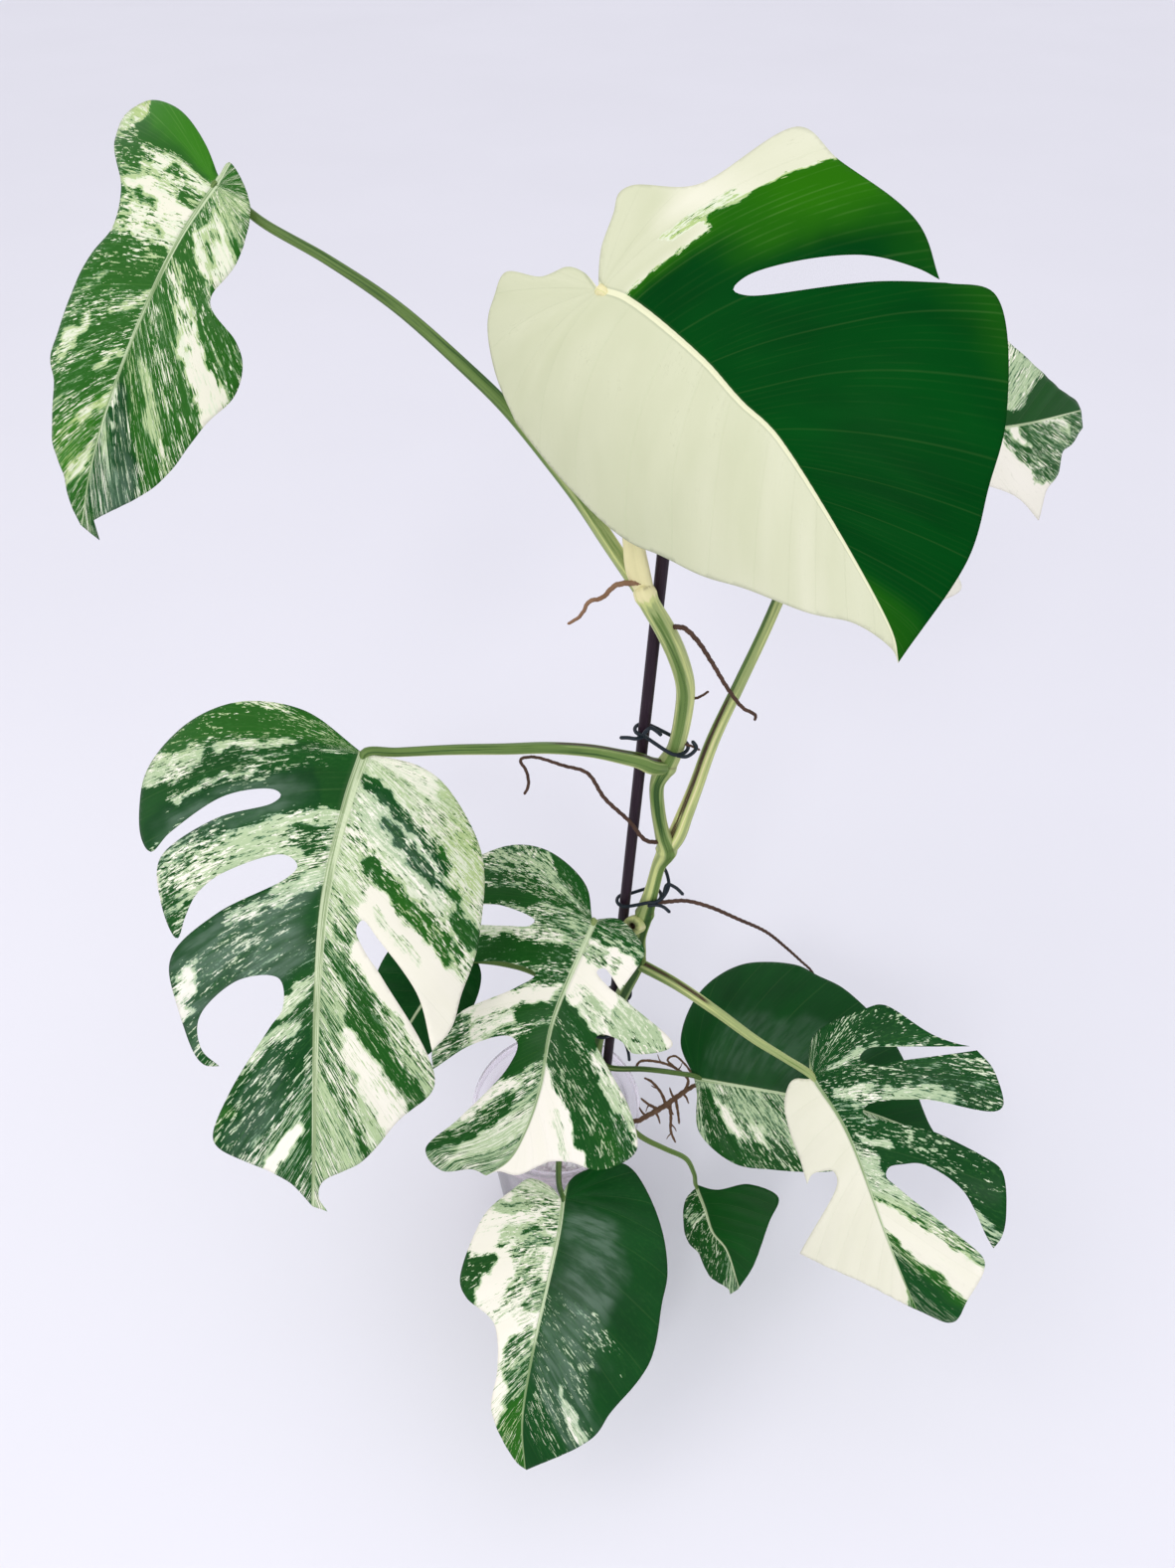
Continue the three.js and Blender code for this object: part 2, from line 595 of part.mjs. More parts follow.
function flipEdges(points, faces) {
  let flipped = true;
  for (let pass = 0; flipped && pass < 60; pass += 1) {
    flipped = false;
    const edges = new Map();
    faces.forEach((f, n) => f.forEach((a, k) => edges.set(a + "," + f[(k + 1) % 3], [n, f[(k + 2) % 3]])));
    const busy = new Set();
    edges.forEach(([n, c], key) => {
      const [a, b] = key.split(",").map(Number);
      const other = edges.get(b + "," + a);
      if (!other || busy.has(n) || busy.has(other[0])) return;
      const [m, d] = other;
      if (!inCircle(points[a], points[b], points[c], points[d])) return;
      const thinnest = Math.min(turn(points[a], points[d], points[c]), turn(points[d], points[b], points[c]));
      if (thinnest < 1e-9) return;
      faces[n] = [a, d, c];
      faces[m] = [d, b, c];
      busy.add(n).add(m);
      flipped = true;
    });
  }
}

// A closed blade in its own frame. extra thickens it, for the clearance round it.
function bladeGeometry(leaf, plan, faces, extra = 0) {
  const top = [];
  const bottom = [];
  const small = 0.5;
  plan.points.forEach((p, i) => {
    const z = bladeHeight(leaf, p.x, p.y);
    const slopeX = (bladeHeight(leaf, p.x + small, p.y) - bladeHeight(leaf, p.x - small, p.y)) / (2 * small);
    const slopeY = (bladeHeight(leaf, p.x, p.y + small) - bladeHeight(leaf, p.x, p.y - small)) / (2 * small);
    const up = new THREE.Vector3(-slopeX, -slopeY, 1).normalize();
    const middle = new THREE.Vector3(p.x, p.y, z);
    const half = BLADE_THICKNESS / 2 + extra;
    const below = half + (plan.midrib.has(i) ? RIB_DEPTH : 0);
    top.push(...middle.clone().addScaledVector(up, half));
    bottom.push(...middle.clone().addScaledVector(up, -below));
  });
  const count = plan.points.length;
  const index = [];
  faces.forEach(([a, b, c]) => index.push(a, b, c, a + count, c + count, b + count));
  for (let a = 0; a < plan.rim; a += 1) {
    const b = (a + 1) % plan.rim;
    index.push(a + count, b + count, b, a + count, b, a);
  }
  const geometry = new THREE.BufferGeometry();
  geometry.setAttribute("position", new THREE.Float32BufferAttribute([...top, ...bottom], 3));
  geometry.setIndex(index);
  return geometry;
}

// Where a blade lies: its base, and the turn that takes its own axes to the plant's.
function bladePlace(leaf) {
  const base = new THREE.Vector3(...leaf.base);
  const along = new THREE.Vector3(...leaf.tip).sub(base).normalize();
  const up = new THREE.Vector3(...leaf.facing);
  up.addScaledVector(along, -up.dot(along)).normalize();
  const across = new THREE.Vector3().crossVectors(along, up);
  return new THREE.Matrix4().makeBasis(across, along, up).setPosition(base);
}

function ribCurve(leaf) {
  const ends = leaf.rib.map(([x, y]) => new THREE.Vector3(x, y, 0));
  return new THREE.CatmullRomCurve3(ends, false, "centripetal").getPoints(40);
}

// A wire loop round the stake and the stem.
function tieLoop({ stem, stemRadius, height }) {
  const stake = stakeAt(height);
  const centre = new THREE.Vector3(...stem);
  const along = centre.clone().sub(stake).setZ(0).normalize();
  const side = new THREE.Vector3(along.y, -along.x, 0);
  const points = [];
  const bend = (middle, radius, from) => {
    for (let k = 0; k <= 4; k += 1) {
      const angle = from + (Math.PI * k) / 4;
      const p = middle.clone().addScaledVector(along, Math.cos(angle) * radius);
      points.push(p.addScaledVector(side, Math.sin(angle) * radius));
    }
  };
  bend(centre, stemRadius + TIE_RADIUS + TIE_SLACK, -Math.PI / 2);
  bend(stake, STAKE_RADIUS + TIE_RADIUS + TIE_SLACK, Math.PI / 2);
  return points.map((p) => [p.x, p.y, p.z, TIE_RADIUS]);
}

function stakeAt(z) {
  const foot = new THREE.Vector3(...STAKE_FOOT);
  const top = new THREE.Vector3(...STAKE_TOP);
  return foot.lerp(top, (z - foot.z) / (top.z - foot.z));
}

function tieSolid(tie) {
  const loop = tieLoop(tie);
  const wires = [tube([...loop, loop[0]], { sides: 5, step: 4.5 })];
  tie.tails.forEach((tail) => {
    const wire = tail.map((p) => [...p, TIE_RADIUS]);
    wires.push(tube(wire, { sides: 5, step: 5 }));
  });
  return joined(wires);
}

function potSolid() {
  const lipIn = POT_LIP_RADIUS - POT_WALL;
  const lipLow = POT_HEIGHT - POT_LIP_DROP;
  const baseIn = POT_BASE_RADIUS - POT_WALL;
  const round = 2;
  const profile = [
    [0, 0], [POT_BASE_RADIUS - round, 0], [POT_BASE_RADIUS, round], [POT_TOP_RADIUS, POT_HEIGHT - 10],
    [POT_TOP_RADIUS + 3, POT_HEIGHT - 4], [lipIn, POT_HEIGHT - 3], [lipIn, lipLow],
    [POT_LIP_RADIUS, lipLow], [POT_LIP_RADIUS, POT_HEIGHT - 1.5], [POT_LIP_RADIUS - 1.5, POT_HEIGHT],
    [POT_TOP_RADIUS + 2, POT_HEIGHT - 1.5], [POT_TOP_RADIUS - POT_WALL, POT_HEIGHT - 9],
    [baseIn, POT_FLOOR + round], [baseIn - round, POT_FLOOR], [0, POT_FLOOR],
  ];
  const turned = new THREE.LatheGeometry(profile.map(([r, z]) => new THREE.Vector2(r, z)), POT_SIDES);
  turned.rotateX(Math.PI / 2);
  let pot = solidOf(turned);
  for (let i = 0; i < DRAIN_COUNT; i += 1) {
    const angle = (2 * Math.PI * i) / DRAIN_COUNT;
    const hole = new THREE.CylinderGeometry(DRAIN_RADIUS, DRAIN_RADIUS, 4 * POT_FLOOR, 12);
    hole.rotateX(Math.PI / 2);
    hole.translate(DRAIN_RING * Math.cos(angle), DRAIN_RING * Math.sin(angle), 0);
    pot = pot.subtract(solidOf(hole));
  }
  return pot.translate([...POT_CENTRE, 0]);
}

// Inner radius of the pot at a height, less the gap to what fills it.
function fillRadius(z) {
  const slope = (POT_TOP_RADIUS - POT_BASE_RADIUS) / (POT_HEIGHT - 12);
  return POT_BASE_RADIUS - POT_WALL + slope * (z - POT_FLOOR - 2) - 2 * GAP;
}

// The filling, with a lumpy top. Its height at each point comes from a few waves of unlike length.
function substrateSolid() {
  const low = POT_FLOOR + GAP;
  const bevel = 3;
  const profile = [
    [0, low], [fillRadius(0) - bevel, low], [fillRadius(POT_FLOOR + bevel), POT_FLOOR + bevel],
  ];
  profile.push([fillRadius(SOIL_TOP), SOIL_TOP - SOIL_LUMP]);
  const flat = fillRadius(SOIL_TOP) - bevel;
  for (let i = SOIL_RINGS; i > 0; i -= 1) profile.push([(flat * i) / SOIL_RINGS, SOIL_TOP]);
  profile.push([0, SOIL_TOP]);
  const turned = new THREE.LatheGeometry(profile.map(([r, z]) => new THREE.Vector2(r, z)), SOIL_SIDES);
  turned.rotateX(Math.PI / 2);
  const position = turned.attributes.position;
  for (let i = 0; i < position.count; i += 1) {
    if (position.getZ(i) < SOIL_TOP - SOIL_LUMP / 2) continue;
    const x = position.getX(i);
    const y = position.getY(i);
    const waves = Math.sin(x * 0.61 + y * 0.17) * Math.cos(y * 0.53 - x * 0.29);
    const lump = waves + 0.4 * Math.sin(x * 1.3 - y * 1.1);
    position.setZ(i, SOIL_TOP + SOIL_LUMP * 0.6 * lump);
  }
  return solidOf(turned).translate([...POT_CENTRE, 0]);
}

const plant = new THREE.Group();

function addMesh(name, geometry, colour, matrix) {
  const [hex, roughness] = COLOURS[colour];
  const material = new THREE.MeshStandardMaterial({ color: hex, roughness, metalness: 0 });
  if (colour === "pot") {
    material.transparent = true;
    material.opacity = 0.35;
  }
  const mesh = new THREE.Mesh(geometry, material);
  mesh.name = name;
  if (matrix) matrix.decompose(mesh.position, mesh.quaternion, mesh.scale);
  plant.add(mesh);
}

const stakePath = [[...STAKE_FOOT, STAKE_RADIUS], [...STAKE_TOP, STAKE_RADIUS]];
const stakeStep = 400;
addMesh("stake", geometryOf(tube(stakePath, { sides: STAKE_SIDES, step: stakeStep })), "stake");

const stem = tube(STEM, { sides: 10, step: 8, ridges: NODE_RINGS });
const stemClearance = tube(STEM, { sides: 10, step: 8, ridges: NODE_RINGS, extra: GAP });
addMesh("stem", geometryOf(stem), "stem");

// Blades first, because each stalk is cut clear of its own.
const bladeClearances = {};
LEAVES.forEach((leaf) => {
  leaf.length = new THREE.Vector3(...leaf.tip).distanceTo(new THREE.Vector3(...leaf.base));
  leaf.ribLine = ribCurve(leaf);
  const plan = bladePlan(leaf);
  const faces = planFaces(plan);
  const matrix = bladePlace(leaf);
  const thick = bladeGeometry(leaf, plan, faces, GAP);
  bladeClearances[leaf.name] = solidOf(thick.applyMatrix4(matrix));
  const colour = BLADE_COLOURS[leaf.name] ?? "mottledBlade";
  addMesh("blade_" + leaf.name, bladeGeometry(leaf, plan, faces), colour, matrix);
});

// Everything that grows out of the stem is cut clear of it and of what was placed before.
const placed = [stemClearance, tube(stakePath, { sides: STAKE_SIDES, step: stakeStep, extra: GAP })];
const stub = tube(STUB, { sides: 12, step: 5 }).subtract(tube(STUB_MOUTH, { sides: 8, step: 6 }));
addMesh("petiole_stub", geometryOf(largest(stub.subtract(stemClearance))), "creamStalk");

Object.entries(STALKS).forEach(([name, points]) => {
  let stalk = tube(points, { step: 15 });
  placed.forEach((other) => {
    stalk = stalk.subtract(other);
  });
  const cut = largest(stalk.subtract(bladeClearances[name]));
  addMesh("petiole_" + name, geometryOf(cut), name === "2" ? "creamStalk" : "stalk");
  placed.push(tube(points, { step: 15, extra: GAP }));
});

Object.entries(AERIAL_ROOTS).forEach(([name, points]) => {
  let root = tube(points, { sides: 6, step: 9 });
  placed.forEach((other) => {
    root = root.subtract(other);
  });
  addMesh("aerial_root_" + name, geometryOf(largest(root)), "root");
});

const rootTubes = [ROOT_MAIN, ...ROOT_BRANCHES].map((points) => tube(points, { sides: 6, step: 9.5 }));
const rootCluster = joined(rootTubes);
addMesh("root_cluster", geometryOf(largest(rootCluster)), "root");

Object.entries(TIES).forEach(([name, tie]) => {
  let wire = tieSolid(tie);
  placed.forEach((other) => {
    wire = wire.subtract(other);
  });
  addMesh("tie_" + name, geometryOf(largest(wire)), "tie");
});

addMesh("pot", geometryOf(potSolid()), "pot");

let substrate = substrateSolid();
const holes = [
  tube(STEM, { sides: 10, step: 8, extra: 2 * GAP }),
  tube(stakePath, { sides: STAKE_SIDES, step: stakeStep, extra: GAP }),
  tube(STALKS[9], { step: 15, extra: GAP }),
  tube(ROOT_MAIN, { sides: 6, step: 9.5, extra: GAP }),
];
holes.forEach((hole) => {
  substrate = substrate.subtract(hole);
});
addMesh("substrate", geometryOf(largest(substrate)), "substrate");

plant.position.set(-POT_CENTRE[0], -POT_CENTRE[1], 0);

export default plant;
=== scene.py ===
"""A potted, climbing, variegated monstera: fine pieces in place of the plain solids."""
import math
import random

import bmesh
import bpy
import numpy as np
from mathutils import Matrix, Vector, noise
from mathutils.geometry import delaunay_2d_cdt


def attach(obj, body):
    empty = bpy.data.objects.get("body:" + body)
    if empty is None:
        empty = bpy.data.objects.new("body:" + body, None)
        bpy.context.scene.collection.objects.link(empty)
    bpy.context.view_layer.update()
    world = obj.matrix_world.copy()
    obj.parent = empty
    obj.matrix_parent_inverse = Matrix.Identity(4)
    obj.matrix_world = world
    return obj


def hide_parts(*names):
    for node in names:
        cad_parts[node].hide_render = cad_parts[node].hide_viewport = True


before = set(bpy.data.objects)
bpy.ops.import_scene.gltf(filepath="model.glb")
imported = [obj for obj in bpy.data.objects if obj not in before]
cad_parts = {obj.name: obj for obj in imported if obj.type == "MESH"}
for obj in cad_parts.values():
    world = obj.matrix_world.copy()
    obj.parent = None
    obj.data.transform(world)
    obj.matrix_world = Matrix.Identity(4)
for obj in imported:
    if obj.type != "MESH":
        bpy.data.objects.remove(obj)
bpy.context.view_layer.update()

MM = 0.001
ROOT = "root"

# Camera: the photograph's place and angle.
CAMERA_PLACE = (0.0262, -0.5397, 1.0266)
CAMERA_PITCH = 43
CAMERA_LENS = 27.05

# Blades.
EDGE_STEP = 1.9
INNER_STEP = 2.1
BLADE_HALF = 0.45
MARGIN_HALF = 0.16
RUFFLE_LENGTH = 62
SIDE_REACH = 100
VEIN_SPACING = 0.095
VEIN_SLOPES = (0.0, 0.8, 1.9, 0.6)
VEIN_FAN = 0.32
VEIN_BLEND = 1.4
REACH_BLEND = 3
SUN_BLUR = 5
RIB_DEPTH = 1.5
GLOSS = 0.16
MATT_GLOSS = 0.02
QUILT = 0.55
RIB_HALF = 1.6
RIB_PALE = 0.3
SLOPE_STEP = 0.4
TRIANGLE_ROW = 0.866
CLEAR_OF_EDGE = 0.6
CLEAR_OF_RIB = 0.55
RIB_START = 1.5
RIB_GAP = 1.0
MARGIN_WIDTH = 3
CURVE_STEP = 1.0
OUTLINE_CURVE_STEP = 0.8
MOUTH_DEPTH = 6

# Levels of cream between which the tissue turns from green to grey, pale, soft and cream.
GREY_LEVEL, PALE_LEVEL, SOFT_LEVEL, CREAM_LEVEL = (0.35, 0.37), (0.42, 0.435), (0.62, 0.66), (0.74, 0.79)

# Places are in millimetres from a spot near the stem's foot, and add_object moves every piece so that the
# pot is central. A blade's outline, rib and paint are measured from its base along the line to its tip, and
# beside it. An outline point with a third number is a sharp corner. In a pair, the half where x is positive
# comes first. cream and sun are the blade's paint: for each half a base level, then the sectors laid over it.
# A sector lies between two side veins, given by where they leave the midrib, and between two reaches from
# the midrib. Its last number is its level. Sun is painted light: above nothing it is painted sunlight,
# tinting the tissue a yellower green, and below nothing it is a painted sheen, a grey-green reflection
# painted in.
# veins gives each half's side veins: their slope at the base of the blade, how it grows and steepens
# towards the tip, and how they bow.
LEAVES = {
    "1": dict(
        base=(-196, 160, 828), tip=(-294, 88, 662), facing=(-0.13, -0.88, 0.46), arch=14, ruffle=3,
        drop=(50, 34),
        rib=[(0, 0), (4, 33), (5, 98), (4, 165), (0, 206)],
        outline=[
            (1, -5, 1), (16, -16), (42, -25), (70, -20), (80, -8), (74, 5), (50, 26), (44, 45), (49, 65),
            (51, 125), (42, 138), (32, 170), (19, 184), (11, 197), (1, 207, 1), (-12, 210, 1), (-6, 200, 1),
            (-33, 163), (-48, 114), (-54, 94), (-52, 76), (-45, 67), (-25, 55), (-28, 29), (-21, 0),
            (0, -14),
        ],
        veins=((-0.1, 1.2, 2.0, 0.5), (0.7, 1.0, 2.5, 0.3)),
        cream=([
            0.3, (-300, -4, 0, 200, 0.03), (-24, -2, 67, 99, 0.6), (-5, 7, 38, 62, 0.2),
            (-5, 12, 60, 99, 0.36), (-1, 24, 0, 44, 0.72), (4, 8, 8, 33, 0.3), (6, 14, 0, 8, 0.16),
            (9, 13, 10, 50, 0.56), (7, 12, 42, 62, 0.34), (14, 20, 0, 40, 0.86), (20, 24, 20, 50, 0.28),
            (24, 38, 0, 44, 0.76), (27, 32, 8, 22, 0.34), (24, 38, 32, 50, 0.42), (39, 62, 0, 24, 0.14),
            (62, 72, 0, 15, 0.58), (98, 102, 2, 14, 0.65), (74, 88, 35, 40, 0.7), (122, 131, 0, 9, 0.6),
            (124, 148, 9, 30, 0.32), (150, 163, 2, 18, 0.72), (163, 230, 0, 14, 0.28),
        ], [
            0.3, (-300, -45, 0, 60, 0.28), (-45, 6, 0, 24, 0.46), (6, 23, 9, 40, 0.74), (6, 22, 0, 9, 0.36),
            (10, 20, 14, 24, 0.4), (23, 38, 0, 24, 0.16), (23, 36, 22, 70, 0.27), (38, 46, 0, 10, 0.46),
            (39, 54, 9, 26, 0.6), (39, 54, 25, 70, 0.88), (82, 90, 14, 42, 0.5), (92, 132, 0, 19, 0.14),
            (118, 128, 0, 5, 0.7), (128, 158, 7, 40, 0.3), (140, 150, 0, 10, 0.48), (158, 230, 0, 30, 0.32),
        ]),
        sun=([0.45, (-60, -14, 0, 99, 1.0), (120, 156, 4, 40, 0.9)], [0.45, (110, 200, 6, 34, -0.7)]),
        rib_pale=0.15,
    ),
    "2": dict(
        base=(13, 55, 811), tip=(151, -89, 693), facing=(-0.4, -0.78, 0.48), arch=14, ruffle=0.8,
        drop=(46, 20),
        rib=[(0, 0), (-7, 13), (-18, 64), (-20, 93), (-23, 117), (-7, 219), (0, 232)],
        outline=[
            (1, -2, 1), (2, -14), (7, -24), (21, -33), (38, -56), (51, -54), (64, -49), (81, -23), (87, 38),
            (76, 92), (64, 113), (50, 138), (36, 157), (17, 188), (3, 206), (-2, 226), (0, 232, 1),
            (-53, 214), (-78, 195), (-102, 175), (-129, 130), (-117, 113, 1), (-97, 93), (-51, 57),
            (-48, 50), (-57, 50), (-98, 78), (-112, 99), (-116, 110, 1), (-124, 83), (-116, 34), (-112, 7),
            (-64, -4), (-40, -30), (-33, -32), (-26, -26), (-12, -17),
        ],
        cream=([
            0.98,
        ], [
            0.01, (-400, 12, 0, 46, 0.98), (-400, 4, 44, 200, 0.98), (-1, 6, 32, 68, 0.62),
            (96, 99, 88, 100, 0.4),
        ]),
        uneven=0.3, matt=True, quilt=0.3, rib_half=1.7, rib_pale=1.0,
        sun=([
            0.94, (80, 240, 30, 200, 0.88), (110, 240, 0, 200, 0.86), (100, 240, 50, 200, 0.74),
            (140, 240, 20, 200, 0.74),
        ], [
            0.0, (-400, 14, 0, 60, 0.9), (-400, 6, 60, 200, 0.7), (-20, 34, 46, 200, 0.5),
            (-20, 24, 70, 200, 0.75), (30, 130, 96, 200, 0.3), (190, 240, 0, 12, 0.35),
        ]),
    ),
    "3": dict(
        base=(148, 113, 704), tip=(329, 200, 680), facing=(0.43, -0.77, 0.46), arch=10, ruffle=2,
        drop=(25, 25),
        rib=[(0, 0), (5, 128), (0, 202)],
        outline=[
            (2, -2, 1), (-14, -20), (-38, -23), (-62, -6), (-72, 34), (-71, 78), (-62, 112), (-44, 140),
            (-15, 179), (-6, 197), (0, 202, 1), (11, 204, 1), (21, 192), (25, 183), (37, 182), (49, 172),
            (67, 171, 1), (48, 139), (40, 117), (36, 102), (46, 98), (84, 98), (105, 112), (110, 84),
            (100, 50), (84, 10), (60, -18), (30, -26), (8, -12),
        ],
        cream=([
            0.98, (116, 220, 0, 40, 0.34), (127, 134, 0, 9, 0.92), (160, 172, 0, 6, 0.8),
        ], [
            0.1, (118, 220, 0, 16, 0.04), (90, 126, 10, 70, 0.5), (84, 98, 30, 80, 0.62),
        ]),
        sun=([0.2], [0.1]),
    ),
    "4": dict(
        base=(-131, 11, 547), tip=(-160, -183, 354), facing=(0.19, -0.71, 0.68), arch=22, ruffle=2.4,
        drop=(38, 34),
        rib=[(0, 0), (6, 29), (13, 93), (0, 275)],
        outline=[
            (1, -1, 1), (40, -24), (83, -25), (116, -6), (135, 29), (130, 64), (121, 73), (111, 60),
            (80, 34), (51, 27), (46, 30), (50, 35), (83, 48), (112, 72), (115, 83), (107, 110), (97, 122),
            (94, 109), (89, 95), (76, 81), (42, 65), (34, 67), (31, 71), (36, 78), (75, 104), (99, 133),
            (94, 158), (78, 189), (71, 194), (63, 193, 1), (74, 186), (79, 173), (76, 161), (56, 140),
            (34, 137), (30, 154), (36, 166), (55, 207), (63, 238), (59, 244), (28, 254), (14, 261),
            (0, 275, 1), (-9, 278, 1), (-3, 269), (-4, 259), (-26, 245), (-45, 220), (-65, 198), (-26, 133),
            (-14, 118), (-7, 105), (-10, 99), (-20, 109), (-48, 142), (-61, 176, 1), (-72, 163), (-76, 142),
            (-84, 107), (-80, 54), (-53, 14), (-34, 3),
        ],
        veins=((0.0, 0.7, 1.9, 0.8), (0.6, 0.5, 1.9, 0.4)),
        cream=([
            0.26, (-300, 34, 0, 150, 0.17), (-52, -44, 50, 92, 0.56), (-20, -13, 40, 92, 0.56),
            (-6, -3, 14, 70, 0.5), (3, 7, 55, 108, 0.5), (-22, -6, 97, 140, 0.53), (-6, 26, 104, 150, 0.08),
            (8, 32, 0, 48, 0.1), (34, 62, 0, 92, 0.56), (33, 38, 42, 92, 0.33), (42, 57, 2, 21, 0.2),
            (62, 83, 0, 34, 0.55), (68, 71, 20, 32, 0.28), (26, 45, 72, 112, 0.42), (44, 62, 84, 112, 0.33),
            (40, 56, 97, 106, 0.95), (83, 112, 0, 24, 0.12), (83, 97, 20, 96, 0.24), (78, 83, 28, 96, 0.56),
            (97, 118, 22, 78, 0.27), (88, 106, 72, 94, 0.88), (74, 86, 54, 92, 0.1),
            (88, 130, 86, 110, 0.3), (112, 132, 0, 25, 0.12), (132, 140, 0, 24, 0.6),
            (147, 155, 10, 60, 0.56), (156, 184, 0, 20, 0.2), (156, 186, 20, 80, 0.24),
            (148, 180, 40, 80, 0.17), (186, 204, 0, 44, 0.36), (203, 216, 6, 34, 0.97),
            (216, 290, 0, 40, 0.3),
        ], [
            0.62, (-300, -14, 0, 99, 0.76), (-50, -4, 54, 99, 0.58), (-10, -4, 6, 28, 0.44),
            (8, 16, 0, 66, 0.16), (20, 28, 20, 80, 0.27), (30, 42, 20, 70, 0.67), (42, 54, 14, 80, 0.22),
            (26, 38, 76, 99, 0.3), (55, 104, 20, 99, 0.98), (64, 70, 28, 60, 0.7), (78, 106, 2, 26, 0.42),
            (104, 118, 40, 99, 0.5), (106, 120, 0, 40, 0.3), (119, 135, 12, 80, 0.18),
            (120, 136, 0, 12, 0.5), (138, 158, 18, 80, 0.86), (158, 176, 26, 60, 0.56),
            (176, 187, 8, 38, 0.26), (187, 290, 0, 40, 0.48), (136, 178, 0, 18, 0.42),
        ]),
        sun=([
            0.1, (-300, -20, 0, 150, 0.4), (150, 200, 50, 80, 0.6), (10, 34, 30, 110, -0.7),
            (76, 124, 10, 90, -0.8), (156, 190, 14, 50, -0.5),
        ], [
            0.25, (42, 54, 30, 80, 0.5), (-50, 20, 60, 99, 0.6), (10, 34, 10, 60, -0.5),
        ]),
        rib_half=3.6, rib_pale=0.25,
    ),
    "5": dict(
        base=(11, 24, 374), tip=(-66, -107, 252), facing=(-0.09, -0.65, 0.75), arch=16, ruffle=2,
        drop=(30, 40),
        rib=[(0, 0), (-2, 76), (-12, 121), (-14, 154), (-11, 177), (0, 195)],
        outline=[
            (2, -1, 1), (17, -22), (53, -34), (83, -27), (110, -1), (117, 17), (113, 31), (103, 35),
            (81, 21), (67, 16), (40, 16), (42, 21), (58, 28), (90, 42), (100, 52), (103, 64), (92, 70),
            (46, 51), (23, 50), (32, 64), (64, 99), (68, 116), (72, 132), (66, 144, 1), (46, 115), (23, 97),
            (15, 99), (15, 118), (34, 167), (48, 199), (32, 207), (10, 195), (0, 195, 1), (-7, 188),
            (-20, 185), (-38, 166), (-51, 161), (-73, 159), (-91, 138), (-78, 114), (-47, 87), (-34, 75),
            (-36, 70), (-51, 69), (-62, 74), (-86, 59), (-41, 41, 1), (-29, 38), (-16, 31), (-20, 27),
            (-37, 37, 1), (-42, 6), (-38, 1), (-16, -9),
        ],
        cream=([
            0.4, (-300, -36, 0, 120, 0.12), (-38, -22, 30, 120, 0.44), (-22, -9, 0, 120, 0.18),
            (-16, -6, 60, 105, 0.42), (-9, 2, 44, 120, 0.08), (-6, 12, 0, 45, 0.42),
            (11, 21, 22, 120, 0.67), (12, 21, 0, 24, 0.42), (21, 36, 5, 120, 0.12), (21, 36, 0, 10, 0.34),
            (36, 50, 0, 40, 0.33), (50, 63, 7, 70, 0.9), (48, 54, 36, 80, 0.22), (62, 73, 0, 30, 0.14),
            (64, 73, 26, 58, 0.74), (56, 70, 56, 80, 0.34), (78, 99, 0, 26, 0.08), (101, 111, 15, 46, 0.82),
            (116, 130, 20, 60, 0.2), (130, 150, 0, 30, 0.64),
        ], [
            0.95, (-300, 10, 0, 60, 0.27), (2, 5, 6, 42, 0.56), (10, 24, 0, 40, 0.9), (12, 26, 1, 12, 0.44),
            (15, 21, 17, 30, 0.44), (24, 50, 42, 99, 0.57), (42, 56, 7, 42, 0.68), (56, 72, 0, 36, 0.12),
            (58, 72, 34, 70, 0.62), (72, 104, 0, 110, 0.16), (70, 80, 54, 99, 0.3),
            (112, 122, 12, 36, 0.72),
        ]),
        sun=([0.15], [0.1, (80, 104, 60, 110, 0.4)]),
        rib_half=2.2, rib_pale=0.18,
    ),
    "6": dict(
        base=(166, -61, 305), tip=(230, -188, 220), facing=(-0.56, -0.63, 0.53), arch=10, ruffle=1.6,
        drop=(20, 22),
        rib=[(0, 0), (-11, 43), (0, 167)],
        outline=[
            (3, 0, 1), (17, -3), (30, 11), (36, 66, 1), (29, 61), (18, 61), (11, 63), (11, 70),
            (71, 112, 1), (30, 138), (0, 166), (-18, 180), (-36, 168), (-56, 152), (-59, 144), (-29, 84),
            (-25, 76), (-30, 71), (-40, 72), (-52, 76), (-68, 100), (-68, 141, 1), (-76, 136), (-86, 123),
            (-95, 97), (-90, 86), (-69, 60), (-27, 33), (-32, 29), (-69, 38), (-109, 61), (-114, 59),
            (-116, 37), (-111, 22, 1), (-64, 10), (-47, 7), (-38, -1), (-45, -5), (-63, 0), (-108, 18, 1),
            (-101, 13), (-90, 3), (-64, -28), (-51, -30), (-14, -28), (-5, -20),
        ],
        cream=([
            0.98, (152, 180, 0, 4, 0.2),
        ], [
            0.2, (-300, -22, 0, 120, 0.18), (-16, -7, 4, 48, 0.5), (-14, -9, 54, 82, 0.5),
            (-7, 11, 0, 62, 0.22), (-7, 15, 60, 130, 0.28), (11, 21, 5, 32, 0.6), (11, 20, 30, 80, 0.5),
            (18, 34, 0, 16, 0.3), (22, 34, 18, 110, 0.4), (34, 54, 0, 110, 0.14), (38, 52, 62, 110, 0.24),
            (44, 49, 10, 26, 0.58), (54, 67, 0, 16, 0.56), (67, 84, 0, 30, 0.5), (66, 88, 24, 90, 0.42),
            (87, 111, 0, 60, 0.9), (88, 106, 56, 90, 0.8), (111, 200, 0, 60, 0.14),
        ]),
        sun=([0.45], [0.0, (80, 120, 0, 60, 0.35)]),
        rib_half=1.6, rib_pale=0.15,
    ),
    "7": dict(
        base=(95, 0, 209), tip=(277, -54, 210), facing=(-0.16, -0.52, 0.84), arch=12, ruffle=1.2,
        drop=(20, 30),
        rib=[(0, 0), (-5, 73), (-7, 123), (0, 189)],
        outline=[
